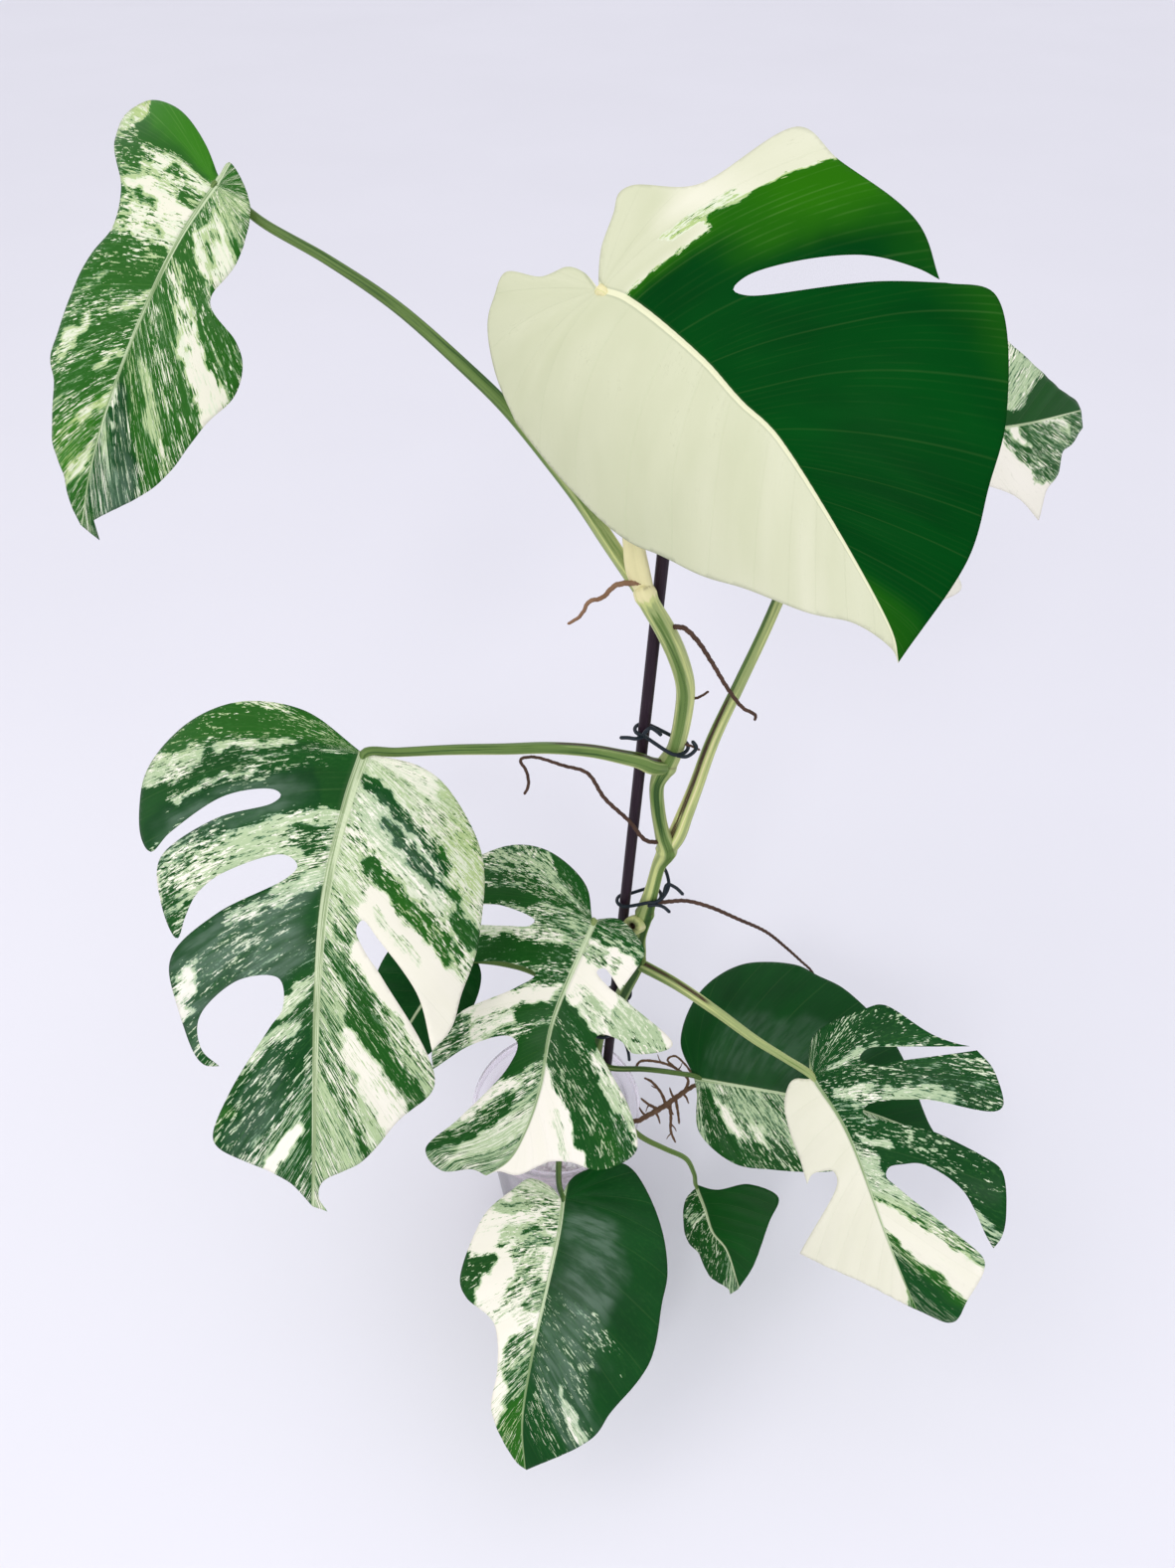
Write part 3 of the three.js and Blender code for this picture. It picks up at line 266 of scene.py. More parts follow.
            (-1, -4, 1), (-26, -21), (-69, -15), (-100, 14), (-109, 57), (-104, 76), (-98, 98), (-72, 136),
            (-54, 152), (-9, 180), (1, 190, 1), (24, 154), (44, 112), (53, 71), (56, 41), (39, 9), (10, 1),
        ],
        veins=((0.7, 0.8, 1.9, 0.5), (0.0, 0.8, 1.9, 0.6)),
        cream=([
            0.42, (-20, 5, 10, 60, 0.2), (6, 12, 12, 40, 0.8), (8, 26, 42, 80, 0.18),
            (28, 40, 38, 58, 0.22), (22, 30, 26, 46, 0.72), (38, 46, 0, 20, 0.4), (50, 58, 2, 26, 0.25),
        ], [
            0.02,
        ]),
        sun=([0.1], [0.0, (0, 90, 6, 60, -0.4)]),
        rib_pale=0.2,
    ),
    "8": dict(
        base=(-12, -98, 201), tip=(-38, -250, 101), facing=(-0.13, -0.53, 0.84), arch=12, ruffle=2.4,
        drop=(36, 22),
        rib=[(0, 0), (-1, 23), (6, 150), (0, 184)],
        outline=[
            (2, 0, 1), (9, -6), (28, -10), (40, 0), (59, 22), (69, 68), (61, 79), (37, 91), (29, 119),
            (29, 150), (7, 180), (-1, 184, 1), (-45, 155), (-55, 137), (-78, 101), (-82, 59), (-83, 40),
            (-72, 4), (-48, -27), (-36, -31), (-11, -21), (-3, -14),
        ],
        cream=([
            0.84, (-300, -8, 0, 99, 0.62), (-8, 0, 0, 30, 0.5), (0, 8, 8, 46, 0.5), (8, 24, 0, 10, 0.42),
            (16, 27, 8, 46, 0.56), (20, 25, 12, 26, 0.34), (27, 37, 1, 26, 0.4), (36, 48, 24, 52, 0.95),
            (40, 52, 2, 20, 0.46), (52, 60, 4, 28, 0.4), (56, 74, 0, 10, 0.4), (60, 72, 10, 40, 0.8),
            (70, 96, 14, 40, 0.92), (84, 100, 2, 20, 0.38), (100, 130, 0, 15, 0.36), (130, 200, 0, 30, 0.2),
            (26, 56, 49, 80, 0.2), (18, 30, 44, 66, 0.92),
        ], [
            0.1, (62, 112, 0, 46, 0.17), (56, 62, 8, 60, 0.24), (98, 109, 26, 46, 0.62),
            (106, 150, 4, 30, 0.2),
        ]),
        sun=([0.15, (130, 200, 0, 30, 0.5)], [0.0, (4, 120, 6, 46, -0.8)]),
        rib_half=1.8, rib_pale=0.15,
    ),
    "9": dict(
        base=(94, -54, 138), tip=(127, -119, 96), facing=(-0.44, -0.63, 0.63), arch=5, ruffle=0.8,
        drop=(20, 12),
        rib=[(0, 0), (-1, 18), (0, 37), (-5, 52), (0, 84)],
        outline=[
            (-2, 0, 1), (-16, 8), (-44, 13), (-62, 30), (-48, 44), (-20, 71), (1, 84, 1), (10, 86, 1),
            (9, 82), (19, 68), (20, 47), (24, 39), (24, 30), (14, 8),
        ],
        cream=([0.2, (8, 22, 8, 20, 0.36), (50, 84, 0, 12, 0.37)], [0.04]),
        sun=([0.1], [0.05]),
    ),
    "10": dict(
        base=(-100, 52, 294), tip=(-155, -25, 241), facing=(0.11, -0.62, 0.78), arch=6, ruffle=1,
        drop=(20, 20),
        rib=[(0, 0), (3, 55), (0, 109)],
        outline=[
            (1, -2, 1), (-10, -12), (-24, -4), (-32, 18), (-30, 44), (-20, 74), (-8, 98), (0, 109, 1),
            (12, 98), (30, 76), (44, 44), (46, 12), (34, -12), (14, -14),
        ],
        cream=([0.1], [0.1]),
        sun=([0], [0]),
    ),
}

# Stem, stalks and roots: x, y, z and radius.
STEM = [
    (9, 36, 40, 4.6), (10, 38, 120, 5), (11, 38, 158, 5.4), (12, 38, 184, 6), (16, 36, 219, 5.2),
    (27, 33, 255, 5.4), (37, 36, 285, 5.6), (44, 40, 310, 6.6), (45, 43, 335, 5.6), (49, 48, 356, 6.6),
    (54, 51, 381, 5.2), (58, 54, 402, 5.2), (63, 55, 417, 7.2), (59, 56, 433, 5.4), (55, 58, 456, 5),
    (54, 60, 477, 5.2), (59, 61, 492, 7), (65, 62, 508, 5.8), (69, 66, 534, 6), (69, 66, 557, 6.2),
    (63, 64, 581, 6.4), (53, 61, 606, 6.4), (44, 64, 621, 6.2), (38, 69, 632, 6.6),
]
STEM_NODES = (184, 310, 356, 417, 492, 626)
NODE_RING_WIDTH = 2.2
NODE_RING_HEIGHT = 0.9
SCAR_RISE = 4
SCAR_WIDTH = 0.9
# Heights between which the stem's colours change.
STRIPE_END, CREAM_TOP = (626, 612), (621, 628)
GREENER_BELOW, PALER_BELOW, PALER_ABOVE = (500, 470), (470, 415), (360, 380)

STALKS = {
    "1": [
        (40, 68, 626, 4.8), (19, 86, 651, 5), (3, 98, 671, 4.8), (-15, 111, 690, 4.6), (-41, 125, 717, 4.2),
        (-64, 134, 737, 3.9), (-102, 145, 768, 3.4), (-139, 151, 792, 2.9), (-174, 160, 809, 2.6),
        (-189, 166, 819, 2.5), (-197, 162, 828, 2.4),
    ],
    "2": [
        (42, 68, 624, 5.4), (36, 72, 641, 7.2), (33, 76, 658, 6.2), (30, 80, 676, 5), (23, 82, 720, 4),
        (17, 75, 769, 3.3), (14, 62, 799, 2.9), (13, 55, 811, 2.8),
    ],
    "3": [
        (60, 54, 412, 5), (69, 58, 427, 6.6), (75, 65, 442, 6), (82, 74, 460, 5.3), (93, 87, 493, 4.7),
        (109, 101, 530, 4.2), (125, 112, 571, 3.9), (140, 123, 617, 3.7), (149, 130, 656, 3.2),
        (151, 126, 686, 2.8), (148, 114, 704, 2.6),
    ],
    "4": [
        (61, 61, 492, 5), (49, 53, 500, 6), (42, 53, 504, 5.6), (29, 53, 508, 5), (9, 52, 514, 4.5),
        (-19, 47, 521, 4), (-47, 39, 527, 3.7), (-82, 29, 535, 3.3), (-112, 20, 541, 3),
        (-131, 12, 547, 2.9),
    ],
    "5": [
        (13, 37, 196, 4), (-1, 33, 230, 4), (-6, 34, 275, 3.4), (-1, 31, 329, 2.9), (6, 30, 360, 2.6),
        (11, 25, 374, 2.5),
    ],
    "6": [
        (43, 40, 308, 4.8), (73, 20, 307, 4.3), (102, -3, 304, 3.7), (129, -27, 302, 3.2),
        (149, -43, 302, 2.8), (166, -60, 305, 2.6),
    ],
    "7": [(12, 37, 181, 3), (24, 28, 183, 2.5), (54, 19, 194, 2.2), (82, 7, 206, 2.1), (93, 2, 210, 2)],
    "8": [
        (9, 38, 160, 3.6), (-4, 14, 175, 3.2), (-13, -30, 186, 2.7), (-16, -66, 193, 2.4),
        (-15, -86, 197, 2.2), (-12, -97, 200, 2.2),
    ],
    "9": [
        (14, 30, 120, 2.6), (21, 14, 150, 2.4), (31, -6, 168, 2.3), (49, -28, 170, 2.2), (69, -42, 174, 2),
        (84, -50, 174, 2), (91, -55, 160, 1.8), (94, -54, 139, 1.7),
    ],
    "10": [
        (13, 38, 208, 3), (-11, 50, 250, 2.8), (-36, 55, 275, 2.5), (-58, 55, 286, 2.3),
        (-83, 54, 292, 2.1), (-100, 53, 293, 2),
    ],
}

STUB = [(47, 47, 345, 6), (42, 42, 350, 7.4), (39, 37, 354, 7)]
STUB_MOUTH_RADIUS = 2.7

AERIAL_ROOTS = {
    "a": [
        (39, 68, 634, 1.8), (23, 62, 636, 1.6), (15, 58, 630, 1.4), (7, 58, 627, 1.3), (4, 56, 622, 1.2),
        (1, 55, 618, 1.1), (-6, 52, 615, 0.9),
    ],
    "b": [
        (55, 61, 606, 1.6), (64, 57, 609, 1.6), (73, 55, 601, 1.5), (82, 50, 589, 1.4), (93, 43, 573, 1.3),
        (103, 39, 561, 1.2), (111, 38, 556, 1.1), (111, 37, 552, 0.9),
    ],
    "c": [(69, 66, 547, 1), (77, 64, 549, 0.9), (84, 62, 556, 0.8)],
    "d": [
        (60, 56, 424, 1.5), (47, 48, 434, 1.5), (35, 50, 451, 1.4), (18, 56, 467, 1.4), (6, 62, 485, 1.3),
        (-10, 64, 490, 1.2), (-31, 65, 497, 1.1), (-39, 62, 497, 1.1), (-35, 58, 490, 1.1),
        (-34, 55, 480, 1.1), (-37, 52, 474, 1),
    ],
    "e": [(65, 62, 512, 1), (73, 59, 513, 0.9), (81, 56, 511, 0.8)],
    "f": [
        (51, 50, 364, 1.6), (67, 55, 361, 1.6), (81, 61, 355, 1.5), (99, 63, 346, 1.5), (123, 66, 328, 1.4),
        (147, 74, 304, 1.3), (168, 83, 273, 1.2), (183, 86, 252, 1.1), (196, 88, 233, 1),
        (204, 84, 212, 0.8),
    ],
}

ROOT_MAIN = [
    (22, 2, 122, 1.8), (28, -4, 146, 1.9), (37, -10, 164, 2), (47, -13, 168, 2), (55, -9, 169, 2.1),
    (65, -4, 171, 2.2), (78, 5, 172, 2.2), (88, 13, 172, 2), (100, 21, 171, 1.6),
]
ROOT_BRANCHES = [
    [
        (87, 12, 172, 1.4), (90, 20, 177, 1.2), (81, 27, 182, 1.1), (66, 32, 185, 1.1), (50, 33, 184, 1.1),
        (46, 28, 180, 0.9),
    ],
    [(81, 27, 182, 1), (73, 33, 187, 0.9), (79, 36, 188, 0.9), (88, 30, 184, 0.9), (94, 24, 178, 0.9)],
    [(71, 0, 171, 1.5), (67, 9, 175, 1.2), (59, 18, 178, 1.1), (53, 20, 180, 0.8)],
    [(74, 2, 171, 1.6), (75, -6, 163, 1.3), (75, -14, 154, 1.1), (79, -20, 146, 0.8)],
    [(79, 6, 172, 1.4), (81, -3, 164, 1.1), (82, -10, 158, 0.8)],
    [(64, -4, 171, 1.5), (56, -1, 174, 1.1), (50, 4, 175, 0.8)],
]
# Fine side roots, as points on the ones above: which line, how far along, and where the tip lies from there.
ROOTLETS = [
    (0, 0.45, (-2, -6, -5)), (0, 0.55, (-6, 8, 1)), (0, 0.62, (4, -8, -6)), (0, 0.7, (7, -5, -7)),
    (0, 0.78, (-4, 9, 3)), (0, 0.86, (5, -7, -6)), (1, 0.35, (4, 6, 2)), (1, 0.6, (-3, 7, 2)),
    (3, 0.5, (-6, 1, 3)), (4, 0.5, (5, -4, -6)), (4, 0.75, (-4, -3, -5)), (6, 0.5, (-3, -6, -2)),
]

STAKE_FOOT = (13, 24, 12)
STAKE_TOP = (57, 85, 740)
STAKE_RADIUS = 4

TIE_RADIUS = 1.3
TIE_SLACK = 0.8
TIES = {
    "1": dict(
        stem=(65, 62, 509), stem_radius=6.2, height=520,
        tails=[
            [(44, 60, 520), (38, 56, 521), (33, 57, 521), (27, 57, 521)],
            [(46, 59, 519), (43, 54, 527), (47, 55, 531), (51, 57, 527), (55, 58, 522)],
            [(65, 54, 508), (72, 50, 511), (78, 55, 514), (75, 59, 517)],
        ],
    ),
    "2": dict(
        stem=(53, 50, 374), stem_radius=5.4, height=364,
        tails=[
            [(54, 43, 372), (61, 46, 375), (66, 54, 379), (65, 63, 383), (62, 71, 384)],
            [(62, 48, 376), (65, 55, 380), (71, 53, 379), (77, 48, 376)],
            [(50, 42, 371), (57, 42, 372), (62, 41, 371), (67, 37, 369)],
        ],
    ),
    "3": dict(
        stem=(30, 34, 263), stem_radius=5.6, height=263,
        tails=[
            [(34.3, 38, 263), (34.8, 43, 268), (37, 46, 272), (40, 44, 268), (40, 41, 263), (37, 40, 259)],
        ],
    ),
    "4": dict(
        stem=(18, 36, 225), stem_radius=5.6, height=222,
        tails=[
            [
                (27, 34.6, 223), (30.5, 36.5, 220), (33.5, 38, 214), (37, 37, 207), (40, 32, 199),
                (41, 28, 192),
            ],
        ],
    ),
}

POT_CENTRE = (-20, 10, 0)
POT_HEIGHT = 160
POT_LIP_RADIUS = 70
POT_LIP_DROP = 11
POT_TOP_RADIUS = 61
POT_BASE_RADIUS = 50
POT_WALL = 1.2
POT_FLOOR = 2
POT_SIDES = 144
DRAIN_COUNT = 8
DRAIN_RADIUS = 4.5
DRAIN_RING = 34
SOIL_TOP = 134
SOIL_SIDES = 120
PEBBLE_TRIES = 400
PEBBLE_SIZES = (2.2, 4.6)

# Stage, in metres: each light's place, width, power and colour.
FLOOR_REACH = 14
SKY = (248, 248, 255)
LIGHTS = {
    "key": ((-1.5, -0.9, 2.6), 1.8, 12, (255, 252, 246)),
    "sheen": ((-0.4, -1.6, 2.0), 0.4, 9, (255, 255, 255)),
    "fill": ((1.4, -1.2, 2.0), 1.8, 3, (236, 244, 255)),
}
LIGHT_AIM = Vector((0, 0, 0.45))


# Curves.

def catmull(points, step):
    """Points about step apart on the centripetal curve through the given ones."""
    pts = [np.array(p, float) for p in points]
    pts = [2 * pts[0] - pts[1], *pts, 2 * pts[-1] - pts[-2]]
    out = []
    for p0, p1, p2, p3 in zip(pts, pts[1:], pts[2:], pts[3:]):
        spans = [np.linalg.norm(b[:3] - a[:3]) for a, b in ((p0, p1), (p1, p2), (p2, p3))]
        d0, d1, d2 = (max(span, 1e-6) ** 0.5 for span in spans)
        t1 = ((p1 - p0) / d0 - (p2 - p0) / (d0 + d1) + (p2 - p1) / d1) * d1
        t2 = ((p2 - p1) / d1 - (p3 - p1) / (d1 + d2) + (p3 - p2) / d2) * d1
        count = max(1, round(np.linalg.norm(p2[:3] - p1[:3]) / step))
        bend, pull = 3 * (p2 - p1) - 2 * t1 - t2, t1 + t2 - 2 * (p2 - p1)
        out.extend(p1 + t1 * t + bend * t ** 2 + pull * t ** 3 for t in np.arange(count) / count)
    out.append(pts[-2])
    return np.array(out)


def evenly(points, step):
    """The same line, with its points evenly step apart."""
    gaps = np.linalg.norm(np.diff(points[:, :3], axis=0), axis=1)
    along = np.concatenate([[0], np.cumsum(gaps)])
    count = max(2, round(along[-1] / step))
    at = np.linspace(0, along[-1], count + 1)
    return np.stack([np.interp(at, along, points[:, k]) for k in range(points.shape[1])], axis=1)


def unit(v):
    return v / np.linalg.norm(v)


def smoothstep(low, high, x):
    t = np.clip((x - low) / (high - low), 0, 1)
    return t * t * (3 - 2 * t)


# Meshes.

def linked(name, data):
    made = bpy.data.objects.new(name, data)
    bpy.context.scene.collection.objects.link(made)
    return made


def add_object(name, verts, faces, material, nodes, attributes=None, smooth=True):
    """A mesh object in place of the named nodes. verts are millimetres."""
    mesh = bpy.data.meshes.new(name)
    mesh.from_pydata(((np.asarray(verts, float) - POT_CENTRE) * MM).tolist(), [], faces)
    for key, values in (attributes or {}).items():
        layer = mesh.attributes.new(key, "FLOAT_VECTOR", "POINT")
        layer.data.foreach_set("vector", np.asarray(values, np.float32).ravel())
    mesh.polygons.foreach_set("use_smooth", [smooth] * len(mesh.polygons))
    mesh.materials.append(material)
    mesh.update()
    piece = linked(name, mesh)
    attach(piece, ROOT)
    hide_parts(*nodes)
    return piece


class Tube:
    """Closed tubes gathered into one mesh, with lengthwise and round-the-side coordinates.

    Angle 0 is the side that faces up. tone gives the material's two levels for an angle and a place along.
    mouth is the radius of a round hole in the far end.
    """

    def __init__(self):
        self.verts, self.faces, self.coords, self.tones = [], [], [], []

    def add(self, points, sides=16, step=2.5, up=(0, 0, 1), shape=None, tone=None, blunt=0.35, mouth=0):
        line = evenly(catmull(points, CURVE_STEP), step)
        centre, radius = line[:, :3], line[:, 3]
        count = len(line)
        tangent = np.gradient(centre, axis=0)
        tangent /= np.linalg.norm(tangent, axis=1)[:, None]
        normal = np.array(up, float)
        start = len(self.verts)
        length = step * (count - 1)
        angles = np.arange(sides) * 2 * math.pi / sides
        for i in range(count):
            normal = unit(normal - normal @ tangent[i] * tangent[i])
            side = np.cross(tangent[i], normal)
            along = i * step
            # The ends round off over a stretch of about a radius.
            left = min(along, length if mouth else length - along) / max(radius[i] * blunt, 1e-6)
            cap = math.sqrt(max(0.0, 1 - (1 - min(left, 1)) ** 2)) * 0.9 + 0.1
            r = radius[i] * cap * np.ones(sides)
            if shape:
                r = r * shape(angles, along, along / length)
            across = np.cos(angles)[:, None] * normal * r[:, None]
            self.verts.extend(centre[i] + across + np.sin(angles)[:, None] * side * r[:, None])
            self.coords.extend([(along, a, along / length) for a in angles])
            self.tones.extend([(*(tone(a, along, along / length) if tone else (0, 0)), 0) for a in angles])
        for depth in (0, MOUTH_DEPTH) if mouth else ():
            rim = np.array(self.verts[-sides:])
            if not depth:
                rim = centre[-1] + (rim - centre[-1]) * (mouth / radius[-1])
            self.verts.extend(rim - tangent[-1] * depth)
            self.coords.extend([(length, a, 1) for a in angles])
            self.tones.extend([(0.5, 1 if depth else 0.6, 0)] * sides)
            count += 1
        for i in range(count - 1):
            for k in range(sides):
                a, b = start + i * sides + k, start + i * sides + (k + 1) % sides
                self.faces.append((a, b, b + sides, a + sides))
        self.faces.append(tuple(start + k for k in reversed(range(sides))))
        self.faces.append(tuple(start + (count - 1) * sides + k for k in range(sides)))

    def build(self, name, material, nodes):
        attributes = {"along": self.coords, "tone": self.tones}
        add_object(name, self.verts, self.faces, material, nodes, attributes)


# Blades.

def leaf_frame(leaf):
    base, tip = np.array(leaf["base"], float), np.array(leaf["tip"], float)
    y = unit(tip - base)
    n = np.array(leaf["facing"], float)
    n = unit(n - n @ y * y)
    return base, np.cross(y, n), y, n, np.linalg.norm(tip - base)


def outline_of(leaf, step):
    """The outline's smooth stretches between its sharp corners, as points step apart."""
    marks = leaf["outline"]
    corners = [i for i, p in enumerate(marks) if len(p) > 2]
    out = []
    for here, there in zip(corners, corners[1:] + [corners[0] + len(marks)]):
        run = [marks[i % len(marks)][:2] for i in range(here, there + 1)]
        out.append(evenly(catmull([(x, y, 0) for x, y in run], OUTLINE_CURVE_STEP), step)[:-1, :2])
    return np.concatenate(out)


def inside(points, ring):
    x, y = points[:, 0][:, None], points[:, 1][:, None]
    ax, ay = ring[:, 0], ring[:, 1]
    bx, by = np.roll(ax, -1), np.roll(ay, -1)
    crosses = (ay > y) != (by > y)
    with np.errstate(divide="ignore", invalid="ignore"):
        hits = crosses & (x < (bx - ax) * (y - ay) / (by - ay) + ax)
    return hits.sum(axis=1) % 2 == 1


def distance_to(points, line, closed=True):
    """Each point's distance to a line of points."""
    a = line if closed else line[:-1]
    b = np.roll(line, -1, axis=0) if closed else line[1:]
    best = np.full(len(points), np.inf)
    for p, q in zip(a, b):
        d = q - p
        t = np.clip(((points - p) @ d) / max(d @ d, 1e-9), 0, 1)
        best = np.minimum(best, np.linalg.norm(points - p - t[:, None] * d, axis=1))
    return best


def painted(place, reach, paint, soft):
    """One half's base level with its sectors laid over it, soft times as blurred as usual."""
    base, *sectors = paint
    level = np.full(len(place), float(base))
    blur, fade = VEIN_BLEND * soft, REACH_BLEND * soft
    for start, stop, near, far, value in sectors:
        cover = smoothstep(start - blur, start + blur, place) * smoothstep(stop + blur, stop - blur, place)
        cover = cover * smoothstep(far + fade, far - fade, reach)
        if near:
            cover = cover * smoothstep(near - fade, near + fade, reach)
        level += (value - level) * cover
    return level


def vein_place(leaf, half, reach, y, length):
    """Where on the midrib the side vein through a point leaves it. Behind the base the veins fan out."""
    slope, grow, steepen, bow = leaf.get("veins", (VEIN_SLOPES, VEIN_SLOPES))[half]
    reach = np.maximum(reach, 1e-3)
    rise = y - bow * reach ** 2 / length
    square, line, rest = steepen * reach / length ** 2, 1 + grow * reach / length, slope * reach - rise
    place = -2 * rest / (line + np.sqrt(np.maximum(line ** 2 - 4 * square * rest, 0)))
    fan = (np.arctan2(rise, reach) - np.arctan(slope)) * VEIN_FAN * length
    return np.where(rest > 0, fan, place)


def wander(points, size, seed):
    """Smooth unevenness, about -1 to 1, with patches of about the given size."""
    return np.array([noise.noise(Vector((x / size, y / size, seed))) for x, y in points])


def make_blade(name, leaf, material):
    base, ex, ey, n, length = leaf_frame(leaf)
    rib_line = catmull([(x, y, 0) for x, y in leaf["rib"]], CURVE_STEP)[:, :2]
    ring = outline_of(leaf, EDGE_STEP)
    rib_y = np.arange(RIB_START, length - RIB_GAP, EDGE_STEP)
    rib = np.stack([np.interp(rib_y, rib_line[:, 1], rib_line[:, 0]), rib_y], axis=1)
    rib = rib[inside(rib, ring) & (distance_to(rib, ring) > RIB_GAP)]
    low, high = ring.min(axis=0), ring.max(axis=0)
    columns = np.arange(low[0], high[0], INNER_STEP)
    rows = np.arange(low[1], high[1], INNER_STEP * TRIANGLE_ROW)
    grid = np.concatenate([
        np.stack([columns + (i % 2) * INNER_STEP / 2, np.full(len(columns), y)], axis=1)
        for i, y in enumerate(rows)
    ])
    grid = grid[inside(grid, ring)]
    grid = grid[distance_to(grid, ring) > EDGE_STEP * CLEAR_OF_EDGE]
    grid = grid[distance_to(grid, rib, closed=False) > EDGE_STEP * CLEAR_OF_RIB]
    flat = np.concatenate([ring, rib, grid])
    rim = len(ring)
    ties = [(rim + i, rim + i + 1) for i in range(len(rib) - 1)]
    made = delaunay_2d_cdt([Vector(p) for p in flat], ties, [list(range(rim))], 1, 1e-4)
    flat = np.array([tuple(p) for p in made[0]])
    tris = [tuple(f) for f in made[2]]
    count = len(flat)

    x, y = flat[:, 0], flat[:, 1]
    edge = distance_to(flat, ring)
    spacing = VEIN_SPACING * length

    def aside_of(px, py):
        return px - np.interp(py, rib_line[:, 1], rib_line[:, 0])

    def veins_of(px, py):
        reach = np.abs(aside_of(px, py))
        right, left = (vein_place(leaf, half, reach, py, length) for half in (0, 1))
        place = np.where(aside_of(px, py) > 0, right, left)
        return place + 0.1 * spacing * (np.sin(place * 0.09) + np.sin(place * 0.037 + 1.7))

    def height(px, py):
        t = py / length
        aside = aside_of(px, py)
        reach = aside / SIDE_REACH
        fall = np.where(aside > 0, leaf["drop"][0], leaf["drop"][1]) * reach ** 2
        phase = np.where(aside > 0, 0, math.pi / 2)
        wave = np.sin(2 * math.pi * py / RUFFLE_LENGTH + phase)
        wave = leaf["ruffle"] * np.minimum(1, 2 * reach ** 2) * wave
        z = 4 * leaf["arch"] * t * (1 - t) - fall + wave
        # The blade swells a little between its side veins and sinks along them and along the midrib.
        vein = veins_of(px, py) / spacing
        away = np.abs(vein - np.round(vein)) * spacing
        fade = smoothstep(2, 14, np.abs(aside)) * smoothstep(0.7, 0.35, np.abs(aside) / length)
        z = z + leaf.get("quilt", QUILT) * fade * (smoothstep(0, spacing * 0.42, away) - 0.6)
        channel = 0.5 + 1.8 * np.clip(1 - t, 0, 1)
        return z - 0.7 * np.exp(-((aside / channel) ** 2)) * np.clip(1.1 - t, 0, 1)

    z = height(x, y)
    slope_x = (height(x + SLOPE_STEP, y) - height(x - SLOPE_STEP, y)) / (2 * SLOPE_STEP)
    slope_y = (height(x, y + SLOPE_STEP) - height(x, y - SLOPE_STEP)) / (2 * SLOPE_STEP)
    up = np.stack([-slope_x, -slope_y, np.ones(count)], axis=1)
    up /= np.linalg.norm(up, axis=1)[:, None]
    middle = np.stack([x, y, z], axis=1)
    half = MARGIN_HALF + (BLADE_HALF - MARGIN_HALF) * smoothstep(0, MARGIN_WIDTH, edge)
    aside = aside_of(x, y)
    t = np.clip(y / length, 0, 1)
    rib_width = 0.6 + 1.9 * (1 - t)
    ridge = RIB_DEPTH * (1 - 0.7 * t) * np.exp(-((aside / rib_width) ** 2))
    ridge = ridge * smoothstep(0, MARGIN_WIDTH, edge)
    top = middle + up * half[:, None]
    bottom = middle - up * (half + ridge)[:, None]
    local = np.concatenate([top, bottom])
    verts = base + local[:, :1] * ex + local[:, 1:2] * ey + local[:, 2:] * n

    faces = tris + [(a + count, c + count, b + count) for a, b, c in tris]
    sides = dict.fromkeys(pair for a, b, c in tris for pair in ((a, b), (b, c), (c, a)))
    faces += [(p + count, q + count, q, p) for p, q in sides if (q, p) not in sides]

    veins = veins_of(x, y) / spacing
    reach = np.abs(aside)
    uneven = leaf.get("uneven", 1)
    seed = int(name) * 7.3
    drift = uneven * (5 * wander(flat, 24, seed) + 3.5 * wander(flat, 7, seed + 1))
    spread = uneven * (14 * wander(flat, 22, seed + 2) + 6 * wander(flat, 7, seed + 3))
    places = [vein_place(leaf, half, reach, y, length) + drift for half in (0, 1)]
    reach = reach + spread * (reach > 3)
    cream, sun = (
        [painted(place, reach, paint, soft) for place, paint in zip(places, leaf[key])]
        for key, soft in (("cream", 1), ("sun", SUN_BLUR))
    )
    rib_half = leaf.get("rib_half", RIB_HALF) * (1.1 - 0.85 * t)
    place = np.stack([aside, veins * spacing, np.full(count, seed)], axis=1)
    sunlit = np.stack([*sun, np.full(count, leaf.get("rib_pale", RIB_PALE))], axis=1)
    over, under = (np.stack([*cream, np.full(count, float(below))], axis=1) for below in (0, 1))
    ribbing = np.stack([veins, rib_half, np.zeros(count)], axis=1)
    sheets = {"place": (place, place), "paint": (over, under), "sunlit": (sunlit, sunlit)}
    sheets["ribbing"] = (ribbing, ribbing)
    attributes = {key: np.concatenate(pair) for key, pair in sheets.items()}
    add_object("leaf_" + name, verts, faces, material, ["blade_" + name], attributes)


# Materials.

